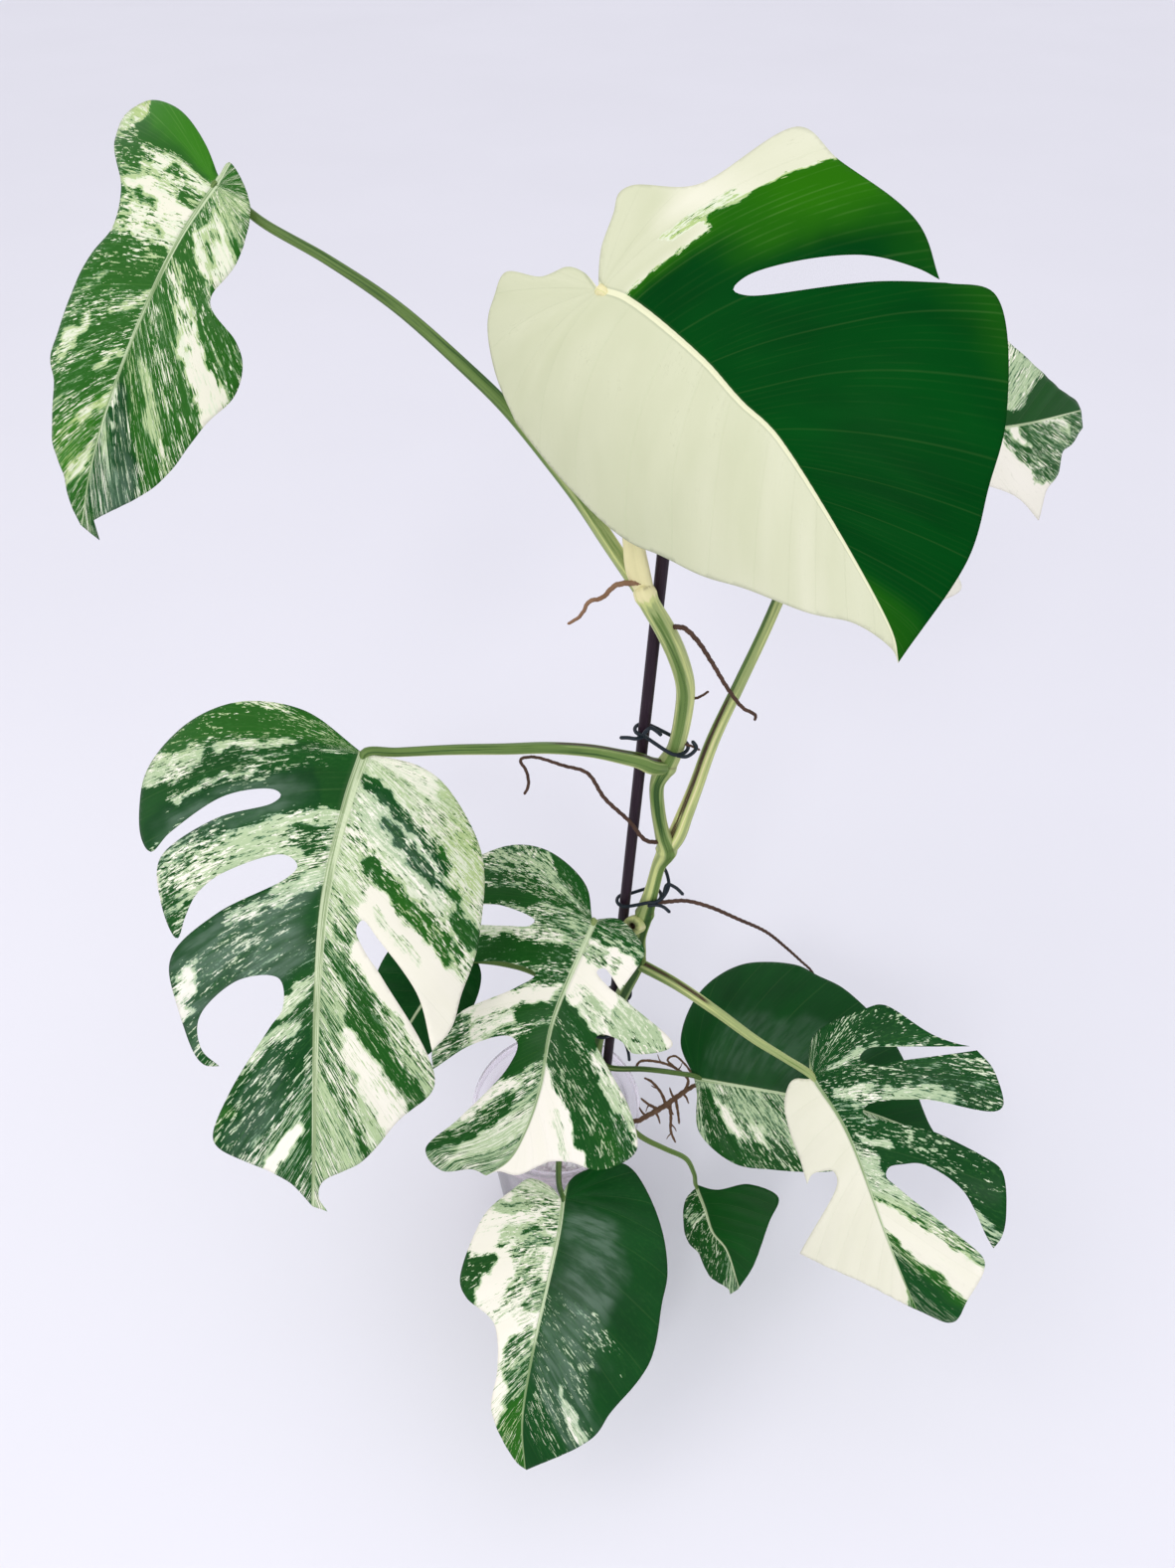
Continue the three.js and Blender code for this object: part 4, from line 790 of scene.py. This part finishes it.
class Shader:
    """A material's nodes, put together by plain calls."""

    def __init__(self, name, **sockets):
        self.material = bpy.data.materials.new(name)
        self.material.use_nodes = True
        self.tree = self.material.node_tree
        self.surface = self.tree.nodes["Principled BSDF"]
        for key, value in sockets.items():
            self.feed(self.surface.inputs[key.replace("_", " ")], value)

    def feed(self, socket, value):
        if isinstance(value, bpy.types.NodeSocket):
            self.tree.links.new(value, socket)
        else:
            socket.default_value = value

    def finish(self, colour, rough, normal=None):
        self.feed(self.surface.inputs["Base Color"], colour)
        self.feed(self.surface.inputs["Roughness"], rough)
        if normal is not None:
            self.feed(self.surface.inputs["Normal"], normal)
        return self.material

    def node(self, kind, inputs=None, **settings):
        made = self.tree.nodes.new("ShaderNode" + kind)
        for key, value in settings.items():
            setattr(made, key, value)
        for key, value in (inputs or {}).items():
            self.feed(made.inputs[key], value)
        return made

    def math(self, operation, a, b=0.0, c=0.0):
        return self.node("Math", {0: a, 1: b, 2: c}, operation=operation).outputs[0]

    def times(self, a, b):
        return self.math("MULTIPLY", a, b)

    def minus(self, a, b):
        return self.math("SUBTRACT", a, b)

    def scaled(self, value, factor, start):
        return self.math("MULTIPLY_ADD", value, factor, start)

    def absolute(self, value):
        return self.math("ABSOLUTE", value)

    def ramp(self, value, low, high, start=0.0, stop=1.0):
        inputs = {"Value": value, "From Min": low, "From Max": high, "To Min": start, "To Max": stop}
        return self.node("MapRange", inputs, interpolation_type="SMOOTHSTEP").outputs[0]

    def blend(self, factor, a, b):
        return self.node("Mix", {0: factor, 2: a, 3: b}, data_type="FLOAT").outputs[0]

    def mix(self, factor, a, b):
        return self.node("Mix", {0: factor, 6: a, 7: b}, data_type="RGBA").outputs[2]

    def parts(self, name):
        made = self.node("Attribute", attribute_name=name)
        split = self.node("SeparateXYZ", {0: made.outputs["Vector"]})
        return split.outputs[0], split.outputs[1], split.outputs[2]

    def join(self, x, y, z):
        return self.node("CombineXYZ", {0: x, 1: y, 2: z}).outputs[0]

    def noise(self, vector, scale=1.0, detail=3.0, roughness=0.55):
        inputs = {"Vector": vector, "Scale": scale, "Detail": detail, "Roughness": roughness}
        return self.node("TexNoise", inputs).outputs[0]

    def round_noise(self, length, width, scale, detail):
        """Noise that closes round a tube and is stretched along it."""
        along, angle, _ = self.parts("along")
        spot = self.join(self.times(along, length), self.times(self.math("COSINE", angle), width),
                         self.times(self.math("SINE", angle), width))
        return self.noise(spot, scale, detail)

    def bump(self, height, distance, strength=1.0, normal=None):
        inputs = {"Height": height, "Distance": distance, "Strength": strength}
        if normal is not None:
            inputs["Normal"] = normal
        return self.node("Bump", inputs).outputs[0]

    def position(self, scale=1.0):
        place = self.node("TexCoord").outputs["Object"]
        return self.node("VectorMath", {0: place, 1: (scale,) * 3}, operation="MULTIPLY").outputs[0]


def rgb(red, green, blue):
    """A colour given as on a screen, 0 to 255, in the linear values that the nodes take."""
    def linear(c):
        c /= 255
        return c / 12.92 if c <= 0.04045 else ((c + 0.055) / 1.055) ** 2.4
    return (linear(red), linear(green), linear(blue), 1.0)


def leaf_material(name, gloss):
    s = Shader(name, IOR=1.45, Specular_IOR_Level=gloss)
    aside, vein_mm, seed = s.parts("place")
    cream_right, cream_left, under = s.parts("paint")
    sun_right, sun_left, rib_pale = s.parts("sunlit")
    on_right = s.math("GREATER_THAN", aside, 0.0)
    cream = s.blend(on_right, cream_left, cream_right)
    sun = s.blend(on_right, sun_left, sun_right)
    veins, rib_half, _ = s.parts("ribbing")

    def streaks(along, across, shift, detail, rough=0.55):
        spot = s.join(s.times(aside, along), s.times(vein_mm, across), s.math("ADD", seed, shift))
        return s.noise(spot, 1, detail, rough)

    # Where the two kinds of tissue meet, the edge between them is ragged along the side veins.
    streak, fleck = streaks(0.045, 0.26, 0, 4), streaks(0.1, 0.85, 3.1, 4, 0.65)
    speck = streaks(0.45, 1.8, 6.7, 2)
    mixed = s.times(s.times(cream, s.minus(1.0, cream)), 4.0)
    level = cream
    for grain, most, least in ((streak, 0.42, 0.04), (fleck, 0.85, 0.12), (speck, 0.3, 0.04)):
        sway = s.scaled(mixed, most, least)
        level = s.scaled(s.minus(grain, 0.5), sway, level)

    # Pale flecks lie in the green, and green ones in the pale parts, thicker in some places than in others.
    crowd = s.scaled(s.minus(streaks(0.03, 0.08, 21.7, 1), 0.5), 0.5, 0.59)
    light, dark = streaks(0.2, 1.0, 11.3, 3, 0.6), streaks(0.16, 0.9, 17.9, 3, 0.6)
    light = s.ramp(s.minus(light, crowd), 0.0, 0.03)
    light = s.times(light, s.ramp(cream, 0.07, 0.16))
    dark = s.ramp(s.minus(dark, crowd), 0.0, 0.03)
    dark = s.times(dark, s.ramp(cream, 0.94, 0.82))
    level = s.scaled(light, 0.42, level)
    level = s.scaled(dark, -0.36, level)

    tone = streaks(0.02, 0.05, 0, 2)
    shade = streaks(0.3, 0.9, 29.1, 3)
    deep = s.mix(tone, rgb(0, 46, 12), rgb(2, 74, 18))
    green = s.mix(sun, deep, rgb(44, 112, 4))
    worn = s.times(s.ramp(shade, 0.5, 0.7), s.ramp(cream, 0.02, 0.3, 0.0, 0.35))
    green = s.mix(worn, green, rgb(60, 116, 50))
    grey = s.mix(tone, rgb(66, 106, 80), rgb(118, 148, 116))
    grey = s.mix(sun, grey, rgb(98, 140, 62))
    grey = s.mix(s.times(s.ramp(shade, 0.4, 0.62), 0.4), grey, rgb(140, 168, 130))
    pale = s.mix(tone, rgb(156, 180, 142), rgb(190, 206, 168))
    pale = s.mix(sun, pale, rgb(168, 190, 112))
    soft = s.mix(tone, rgb(206, 216, 184), rgb(222, 226, 204))
    white = s.mix(tone, rgb(240, 236, 218), rgb(250, 243, 234))
    white = s.mix(sun, white, s.mix(tone, rgb(188, 193, 157), rgb(206, 209, 178)))
    colour = green
    for tissue, rise in ((grey, GREY_LEVEL), (pale, PALE_LEVEL), (soft, SOFT_LEVEL)):
        colour = s.mix(s.ramp(level, *rise), colour, tissue)
    is_cream = s.ramp(level, *CREAM_LEVEL)
    colour = s.mix(is_cream, colour, white)

    # Side veins are a little paler than the blade, with finer ones between them that show in the sun.
    near = s.absolute(s.minus(veins, s.math("ROUND", veins)))
    line = s.ramp(near, 0.0, 0.03, 1.0, 0.0)
    fine = s.times(veins, 8.0)
    fine = s.ramp(s.absolute(s.minus(fine, s.math("ROUND", fine))), 0.0, 0.2, 1.0, 0.0)
    shown = s.times(s.ramp(streak, 0.4, 0.6), s.scaled(sun, 0.1, 0.01))
    fine = s.times(s.times(fine, shown), s.scaled(is_cream, -0.9, 1.0))
    colour = s.mix(s.scaled(line, 0.03, fine), colour, rgb(150, 190, 110))

    # The midrib is a bundle of pale and green stripes.
    across = s.math("DIVIDE", s.absolute(aside), rib_half)
    rib = s.ramp(across, 0.75, 1.0, 1.0, 0.0)
    stripe = s.noise(s.join(s.times(aside, 1.1), s.times(vein_mm, 0.015), seed), 1, 2)
    green_rib = s.mix(s.ramp(stripe, 0.42, 0.58), rgb(92, 130, 72), rgb(186, 204, 164))
    rib_colour = s.mix(rib_pale, green_rib, rgb(226, 226, 190))
    colour = s.mix(s.times(rib, 0.9), colour, rib_colour)
    # A faint darker green band on either side of the midrib is painted shade in the sunken trough beside it.
    trough_shade = s.times(s.ramp(across, 0.8, 1.1), s.ramp(across, 1.8, 1.1))
    colour = s.mix(s.times(trough_shade, 0.18), colour, rgb(70, 96, 60))

    # A few thin scratches show on the cream.
    scratch = s.ramp(s.absolute(s.minus(streak, 0.52)), 0.0, 0.004, 1.0, 0.0)
    scratch = s.times(s.times(scratch, s.ramp(tone, 0.56, 0.66)), is_cream)
    colour = s.mix(s.times(scratch, 0.3), colour, rgb(120, 124, 84))
    # Where sun is below nothing, a grey-green painted sheen, a painted reflection, is mixed into the blade's
    # colour.
    painted_sheen = s.times(s.ramp(sun, 0.0, -1.0), s.ramp(streak, 0.35, 0.65, 0.08, 0.28))
    colour = s.mix(painted_sheen, colour, rgb(150, 172, 158))
    below = s.mix(0.45, colour, rgb(150, 178, 130))
    colour = s.mix(under, colour, below)
    rough = s.scaled(under, 0.2, s.scaled(is_cream, 0.1, s.scaled(fleck, 0.14, 0.32)))
    grain = s.math("ADD", s.times(fleck, 0.5), s.times(line, -0.5))
    return s.finish(colour, rough, s.bump(grain, 0.0004, 0.5))


def stalk_material():
    """Smooth stalk. tone x goes from green, at 0, to cream, and tone y is how brown it is."""
    s = Shader("stalk", IOR=1.45, Specular_IOR_Level=0.25)
    amount, brown, _ = s.parts("tone")
    stripe, fine = s.round_noise(0.01, 2.2, 1, 3), s.round_noise(0.05, 6.0, 1, 3)
    level = s.scaled(s.minus(stripe, 0.5), 0.8, amount)
    level = s.scaled(s.minus(fine, 0.5), 0.3, level)
    colour = s.mix(s.ramp(level, 0.08, 0.26), rgb(46, 78, 30), rgb(98, 124, 62))
    colour = s.mix(s.ramp(level, 0.32, 0.5), colour, rgb(150, 164, 106))
    colour = s.mix(s.ramp(level, 0.56, 0.72), colour, rgb(192, 199, 130))
    colour = s.mix(s.ramp(level, 0.78, 0.95), colour, rgb(224, 216, 166))
    burnt = s.times(brown, s.ramp(fine, 0.3, 0.5))
    colour = s.mix(burnt, colour, rgb(58, 30, 22))
    return s.finish(colour, s.scaled(fine, 0.2, 0.3), s.bump(fine, 0.0004, 0.4))


def root_material():
    s = Shader("root", IOR=1.4, Specular_IOR_Level=0.2)
    tan, _, _ = s.parts("tone")
    spot = s.position(420)
    blotch = s.noise(spot, 0.3, 3)
    grain = s.noise(spot, 2.2, 3)
    dark = s.mix(blotch, rgb(34, 24, 24), rgb(78, 58, 50))
    light = s.mix(blotch, rgb(110, 76, 54), rgb(168, 134, 104))
    colour = s.mix(tan, dark, light)
    return s.finish(colour, s.scaled(grain, 0.3, 0.6), s.bump(grain, 0.0008, 0.6))


def wire_material():
    s = Shader("coated_wire", IOR=1.48, Specular_IOR_Level=0.25)
    grain = s.noise(s.position(500), 1.0, 3)
    colour = s.mix(grain, rgb(10, 14, 22), rgb(30, 44, 54))
    return s.finish(colour, s.scaled(grain, 0.25, 0.3), s.bump(grain, 0.0002, 0.4))


def stake_material():
    s = Shader("stake", IOR=1.48, Specular_IOR_Level=0.2)
    grain = s.round_noise(0.06, 3, 1.5, 4)
    colour = s.mix(grain, rgb(14, 6, 14), rgb(52, 34, 48))
    return s.finish(colour, s.scaled(grain, 0.3, 0.3), s.bump(grain, 0.0005, 0.5))


def pot_material():
    s = Shader("clear_plastic", IOR=1.45, Transmission_Weight=1.0)
    smear = s.noise(s.position(14), 1.0, 3)
    colour = s.mix(smear, rgb(248, 242, 249), rgb(254, 252, 254))
    return s.finish(colour, s.scaled(smear, 0.12, 0.1), s.bump(smear, 0.0004, 0.2))


def substrate_material():
    s = Shader("potting_mix", IOR=1.4)
    spot = s.position(1)
    cells = s.node("TexVoronoi", {"Vector": spot, "Scale": 110.0}, feature="F1")
    shade = s.node("SeparateColor", {0: cells.outputs["Color"]}).outputs[0]
    grain = s.noise(spot, 900, 4)
    colour = s.mix(s.ramp(shade, 0.2, 0.7), rgb(238, 226, 234), rgb(250, 245, 249))
    colour = s.mix(s.ramp(shade, 0.08, 0.12, 1.0, 0.0), colour, rgb(222, 200, 206))
    colour = s.mix(s.times(grain, 0.4), colour, rgb(236, 230, 236))
    lumps = s.bump(cells.outputs["Distance"], 0.004, 0.8)
    return s.finish(colour, s.scaled(grain, 0.2, 0.75), s.bump(grain, 0.0006, 0.6, lumps))


def floor_material():
    s = Shader("pale_floor", IOR=1.4)
    cloud = s.noise(s.position(1.4), 1.0, 3)
    colour = s.mix(cloud, rgb(226, 225, 231), rgb(232, 231, 237))
    return s.finish(colour, s.scaled(cloud, 0.1, 0.75))


# Pieces.

def stake_at(z):
    foot, top = np.array(STAKE_FOOT, float), np.array(STAKE_TOP, float)
    return foot + (top - foot) * (z - foot[2]) / (top[2] - foot[2])


def make_blades():
    matt, glossy = leaf_material("matt_leaf", MATT_GLOSS), leaf_material("leaf", GLOSS)
    for name, leaf in LEAVES.items():
        make_blade(name, leaf, matt if leaf.get("matt") else glossy)


def turned(angle, middle):
    """How far an angle lies from a middle one, 0 to pi."""
    return abs((angle - middle + math.pi) % (2 * math.pi) - math.pi)


def make_stem(material):
    points = []
    line = evenly(catmull(STEM, CURVE_STEP), 2.0)
    for x, y, z, r in line:
        ring = sum(math.exp(-(((z - node) / NODE_RING_WIDTH) ** 2)) for node in STEM_NODES)
        points.append((x, y, z, r + NODE_RING_HEIGHT * ring))
    heights = line[:, 2]

    def shape(angles, along, share):
        return 1 + 0.02 * np.cos(3 * angles + along * 0.03) + 0.015 * np.cos(7 * angles)

    def tone(angle, along, share):
        z = np.interp(share, np.linspace(0, 1, len(heights)), heights)
        # A green band winds down the side that faces the viewer, on a yellow green ground.
        middle = 0.35 * math.sin(z * 0.021)
        stripe = smoothstep(0.6, 0.25, turned(angle, middle)) * smoothstep(*STRIPE_END, z)
        back = smoothstep(1.7, 2.3, turned(angle, middle))
        top = smoothstep(*CREAM_TOP, z)
        ground = 0.66 - 0.22 * smoothstep(*GREENER_BELOW, z)
        ground = ground + 0.2 * smoothstep(*PALER_BELOW, z) * smoothstep(*PALER_ABOVE, z)
        scar = max(math.exp(-(((z - node - SCAR_RISE) / SCAR_WIDTH) ** 2)) for node in STEM_NODES)
        green = ground - 0.42 * stripe - 0.25 * back
        return green + (1.05 - green) * top, 0.45 * scar * (turned(angle, middle + 0.9) < 0.9)

    tube = Tube()
    tube.add(points, sides=32, step=1.3, up=(0, -1, 0), shape=shape, tone=tone, blunt=0.6)
    tube.build("stem_bark", material, ["stem"])


# Per stalk: how cream it is at the foot, at the blade and underneath, how brown its groove is, and whether a
# pale stripe runs down one flank.
STALK_LOOKS = {
    "1": (0.5, 0.22, 0.5, 0, 0), "2": (1.05, 0.98, 1.05, 0, 0), "3": (0.85, 0.16, 0.85, 1, 1),
    "4": (0.24, 0.22, 0.68, 1, 0), "5": (0.3, 0.2, 0.4, 0, 0), "6": (0.36, 0.56, 0.85, 1, 0),
    "7": (0.2, 0.16, 0.3, 0, 0), "8": (0.25, 0.2, 0.4, 0, 0), "9": (0.35, 0.3, 0.4, 0, 0),
    "10": (0.2, 0.2, 0.3, 0, 0),
}
STALK_UP = {"1": (0, -0.5, 1), "2": (0, -1, 0), "3": (-1, -0.6, 0.3), "5": (0, -1, 0)}


def make_stalks(material):
    for name, points in STALKS.items():
        base, ex, ey, n, length = leaf_frame(LEAVES[name])
        radius = points[-1][3]
        reach = points + [tuple(base + ey * 7 - n * (radius * 0.9 + 0.6)) + (radius * 0.55,)]
        foot, blade, below, brown, flank = STALK_LOOKS[name]
        groove = 0.3 if points[0][3] > 4 else 0.12

        def shape(angles, along, share):
            off = np.abs((angles + math.pi) % (2 * math.pi) - math.pi)
            depth = groove * smoothstep(0.75, 0.1, share) * np.exp(-((off / 0.5) ** 2))
            return 1 - depth + 0.05 * np.exp(-(((off - 0.75) / 0.3) ** 2)) * (share < 0.7)

        def tone(angle, along, share):
            off = turned(angle, 0)
            cream = foot + (blade - foot) * smoothstep(0.05, 0.4, share)
            cream += (below - cream) * smoothstep(1.9, 2.4, off)
            cream += (0.62 - cream) * smoothstep(0.0, 0.35, flank * math.sin(angle))
            cream += 0.3 * math.exp(-(((off - 0.8) / 0.18) ** 2)) * smoothstep(0.5, 0.3, share)
            seam = smoothstep(0.42, 0.25, off) * smoothstep(0.02, 0.05, share) * smoothstep(0.42, 0.36, share)
            return cream, brown * seam + 0.5 * math.exp(-((along / 2) ** 2))

        tube = Tube()
        tube.add(reach, sides=24, step=2.0, up=STALK_UP.get(name, (0, 0, 1)), shape=shape, tone=tone)
        tube.build("stalk_" + name, material, ["petiole_" + name])


def make_stub(material):
    tube = Tube()
    tube.add(STUB, sides=28, step=1.0, tone=lambda *_: (0.8, 0.1), blunt=0.2, mouth=STUB_MOUTH_RADIUS)
    tube.build("cut_stub", material, ["petiole_stub"])


def make_roots(material):
    def rough(angles, along, share):
        return 1 + 0.1 * np.sin(along * 1.1 + 2 * np.cos(angles)) + 0.07 * np.sin(along * 2.7 + angles)

    for name, points in AERIAL_ROOTS.items():
        tan = (0.8 if name == "a" else 0.12, 0)
        tube = Tube()
        tube.add(points, sides=12, step=0.9, shape=rough, tone=lambda *_: tan)
        tube.build("air_root_" + name, material, ["aerial_root_" + name])
    reddish = (0.45, 0)
    tube = Tube()
    lines = [ROOT_MAIN, *ROOT_BRANCHES]
    for points in lines:
        tube.add(points, sides=12, step=0.9, shape=rough, tone=lambda *_: reddish)
    for line, share, (dx, dy, dz) in ROOTLETS:
        path = evenly(catmull(lines[line], CURVE_STEP), 1.0)
        x, y, z, r = path[int(share * (len(path) - 1))]
        bend, tip = (x + dx * 0.6, y + dy * 0.4, z + dz * 0.5), (x + dx, y + dy, z + dz)
        tube.add(
            [(x, y, z, r * 0.6), (*bend, r * 0.45), (*tip, r * 0.25)],
            sides=8, step=0.9, shape=rough, tone=lambda *_: reddish,
        )
    tube.build("branched_root", material, ["root_cluster"])


def make_ties(material):
    for name, tie in TIES.items():
        stake, centre = stake_at(tie["height"]), np.array(tie["stem"], float)
        along = centre - stake
        along[2] = 0
        along = unit(along)
        side = np.array((along[1], -along[0], 0))
        loop = []
        for middle, radius, start in (
            (centre, tie["stem_radius"], -math.pi / 2), (stake, STAKE_RADIUS, math.pi / 2)
        ):
            reach = radius + TIE_RADIUS + TIE_SLACK
            for k in range(7):
                angle = start + math.pi * k / 6
                loop.append(middle + along * math.cos(angle) * reach + side * math.sin(angle) * reach)
        tube = Tube()
        tube.add([(*p, TIE_RADIUS) for p in [*loop, loop[0], loop[1]]], sides=12, step=1.2)
        for tail in tie["tails"]:
            tube.add([(*p, TIE_RADIUS) for p in tail], sides=12, step=1.0)
        tube.build("wire_tie_" + name, material, ["tie_" + name])


def make_stake(material):
    tube = Tube()
    rod = [(*end, STAKE_RADIUS) for end in (STAKE_FOOT, STAKE_TOP)]
    tube.add(rod, sides=32, step=4, up=(0, -1, 0), blunt=1.0)
    tube.build("stake_rod", material, ["stake"])


def lathe(profile, sides):
    """A closed turned shape from [radius, height] points that start and end on the axis."""
    verts, faces, rings = [], [], []
    for r, z in profile:
        if r == 0:
            rings.append([len(verts)])
            verts.append((0, 0, z))
        else:
            rings.append(list(range(len(verts), len(verts) + sides)))
            turns = np.arange(sides) * 2 * math.pi / sides
            verts.extend(zip(r * np.cos(turns), r * np.sin(turns), [z] * sides))
    for a, b in zip(rings, rings[1:]):
        for k in range(sides):
            quad = [a[k % len(a)], a[(k + 1) % len(a)], b[(k + 1) % len(b)], b[k % len(b)]]
            faces.append(tuple(dict.fromkeys(quad)))
    return verts, faces


def make_pot(material):
    top, base, wall = POT_TOP_RADIUS, POT_BASE_RADIUS, POT_WALL
    lip, low, high = POT_LIP_RADIUS, POT_HEIGHT - POT_LIP_DROP, POT_HEIGHT
    profile = [
        (0, 0), (base - 2, 0), (base - 0.6, 0.6), (base, 2), (top, high - 10), (top + 0.8, high - 7),
        (top + 3, high - 4), (lip - wall - 1, high - 3), (lip - wall, high - 4), (lip - wall, low + 0.4),
        (lip - wall / 2, low), (lip, low + 0.5), (lip, high - 1.5), (lip - 0.5, high - 0.5),
        (lip - 1.5, high), (top + 4, high - 0.6), (top + 1.6, high - 2), (top, high - 5),
        (top - wall, high - 9), (base - wall, POT_FLOOR + 2), (base - wall - 0.6, POT_FLOOR + 0.6),
        (base - wall - 2, POT_FLOOR), (0, POT_FLOOR),
    ]
    verts, faces = lathe(profile, POT_SIDES)
    pot = add_object("clear_pot", np.array(verts) + POT_CENTRE, faces, material, ["pot"])
    cutters = bmesh.new()
    size = dict(radius1=DRAIN_RADIUS * MM, radius2=DRAIN_RADIUS * MM, depth=8 * MM)
    for i in range(DRAIN_COUNT):
        angle = 2 * math.pi * i / DRAIN_COUNT
        made = bmesh.ops.create_cone(cutters, cap_ends=True, segments=32, **size)
        shift = Vector((DRAIN_RING * math.cos(angle), DRAIN_RING * math.sin(angle), 0)) * MM
        bmesh.ops.translate(cutters, verts=made["verts"], vec=shift)
    mesh = bpy.data.meshes.new("drain_cutters")
    cutters.to_mesh(mesh)
    cutters.free()
    tool = linked("drain_cutters", mesh)
    cut = pot.modifiers.new("drains", "BOOLEAN")
    cut.object, cut.operation, cut.solver = tool, "DIFFERENCE", "EXACT"
    bpy.context.view_layer.update()
    evaluated = pot.evaluated_get(bpy.context.evaluated_depsgraph_get())
    drilled = bpy.data.meshes.new_from_object(evaluated)
    pot.modifiers.clear()
    pot.data = drilled
    bpy.data.objects.remove(tool)
    bpy.data.meshes.remove(mesh)


def fill_radius(z):
    slope = (POT_TOP_RADIUS - POT_BASE_RADIUS) / (POT_HEIGHT - 12)
    return POT_BASE_RADIUS - POT_WALL + slope * (z - POT_FLOOR - 2) - 0.6


def make_substrate(material):
    profile = [(0, POT_FLOOR + 0.4), (fill_radius(0) - 3, POT_FLOOR + 0.4), (fill_radius(5), POT_FLOOR + 3)]
    profile += [(fill_radius(z), z) for z in np.linspace(8, SOIL_TOP - 4, 40)]
    profile += [((fill_radius(SOIL_TOP) - 2) * k / 24, SOIL_TOP - 2) for k in range(24, 0, -1)]
    profile.append((0, SOIL_TOP - 2))
    verts, faces = lathe(profile, SOIL_SIDES)
    verts = list(np.array(verts) + POT_CENTRE)
    rng = random.Random(5)
    # A chunk that would lie within these distances of a line that stands in the mix is left out.
    blocks = [(STEM, 8), (STALKS["9"], 4), (ROOT_MAIN, 4)]
    lines = [(evenly(catmull(line, CURVE_STEP), 2.0)[:, :3], gap) for line, gap in blocks]
    lines.append((np.array([stake_at(z) for z in range(100, 170, 2)]), 5.5))
    seed_mesh = bmesh.new()
    bmesh.ops.create_icosphere(seed_mesh, subdivisions=2, radius=1.0)
    ball = np.array([tuple(v.co) for v in seed_mesh.verts])
    ball_faces = [tuple(v.index for v in f.verts) for f in seed_mesh.faces]
    seed_mesh.free()
    for _ in range(PEBBLE_TRIES):
        reach = (fill_radius(SOIL_TOP) - 5) * math.sqrt(rng.random())
        angle = rng.random() * 2 * math.pi
        size = rng.uniform(*PEBBLE_SIZES)
        lift = SOIL_TOP - 2 + rng.uniform(-1.0, 1.2)
        spot = np.array((reach * math.cos(angle), reach * math.sin(angle), lift)) + POT_CENTRE
        if any(np.linalg.norm(line - spot, axis=1).min() < gap + size for line, gap in lines):
            continue
        stretch = np.array([rng.uniform(0.7, 1.2), rng.uniform(0.7, 1.2), rng.uniform(0.55, 0.95)])
        knobs = np.array([rng.uniform(0.8, 1.15) for _ in range(len(ball))])
        turn = rng.random() * math.pi
        cos, sin = math.cos(turn), math.sin(turn)
        spin = np.array([[cos, -sin, 0], [sin, cos, 0], [0, 0, 1]])
        start = len(verts)
        verts.extend((ball * knobs[:, None] * stretch * size) @ spin.T + spot)
        faces.extend(tuple(start + k for k in f) for f in ball_faces)
    add_object("potting_mix", verts, faces, material, ["substrate"], smooth=False)


# Stage.

def make_stage():
    mesh = bpy.data.meshes.new("floor")
    corners = [(x * FLOOR_REACH, y * FLOOR_REACH, 0) for x, y in ((-1, -1), (1, -1), (1, 1), (-1, 1))]
    mesh.from_pydata(corners, [], [(0, 1, 2, 3)])
    mesh.materials.append(floor_material())
    floor = linked("floor", mesh)

    world = bpy.data.worlds.new("studio")
    world.use_nodes = True
    sky = world.node_tree.nodes["Background"].inputs
    sky["Color"].default_value = rgb(*SKY)
    sky["Strength"].default_value = 1.0
    bpy.context.scene.world = world

    for name, (place, size, power, colour) in LIGHTS.items():
        data = bpy.data.lights.new(name, "AREA")
        data.shape, data.size, data.energy, data.color = "DISK", size, power, rgb(*colour)[:3]
        lamp = linked(name, data)
        lamp.location = place
        lamp.rotation_euler = (LIGHT_AIM - Vector(place)).to_track_quat("-Z", "Y").to_euler()

    camera = linked("camera", bpy.data.cameras.new("camera"))
    camera.location = CAMERA_PLACE
    camera.rotation_euler = (math.radians(90 - CAMERA_PITCH), 0, 0)
    camera.data.lens = CAMERA_LENS
    camera.data.clip_end = 60
    bpy.context.scene.camera = camera
    bpy.context.scene.view_settings.view_transform = "Standard"


make_stage()
make_blades()
stalk = stalk_material()
make_stem(stalk)
make_stalks(stalk)
make_stub(stalk)
make_roots(root_material())
make_ties(wire_material())
make_stake(stake_material())
make_pot(pot_material())
make_substrate(substrate_material())
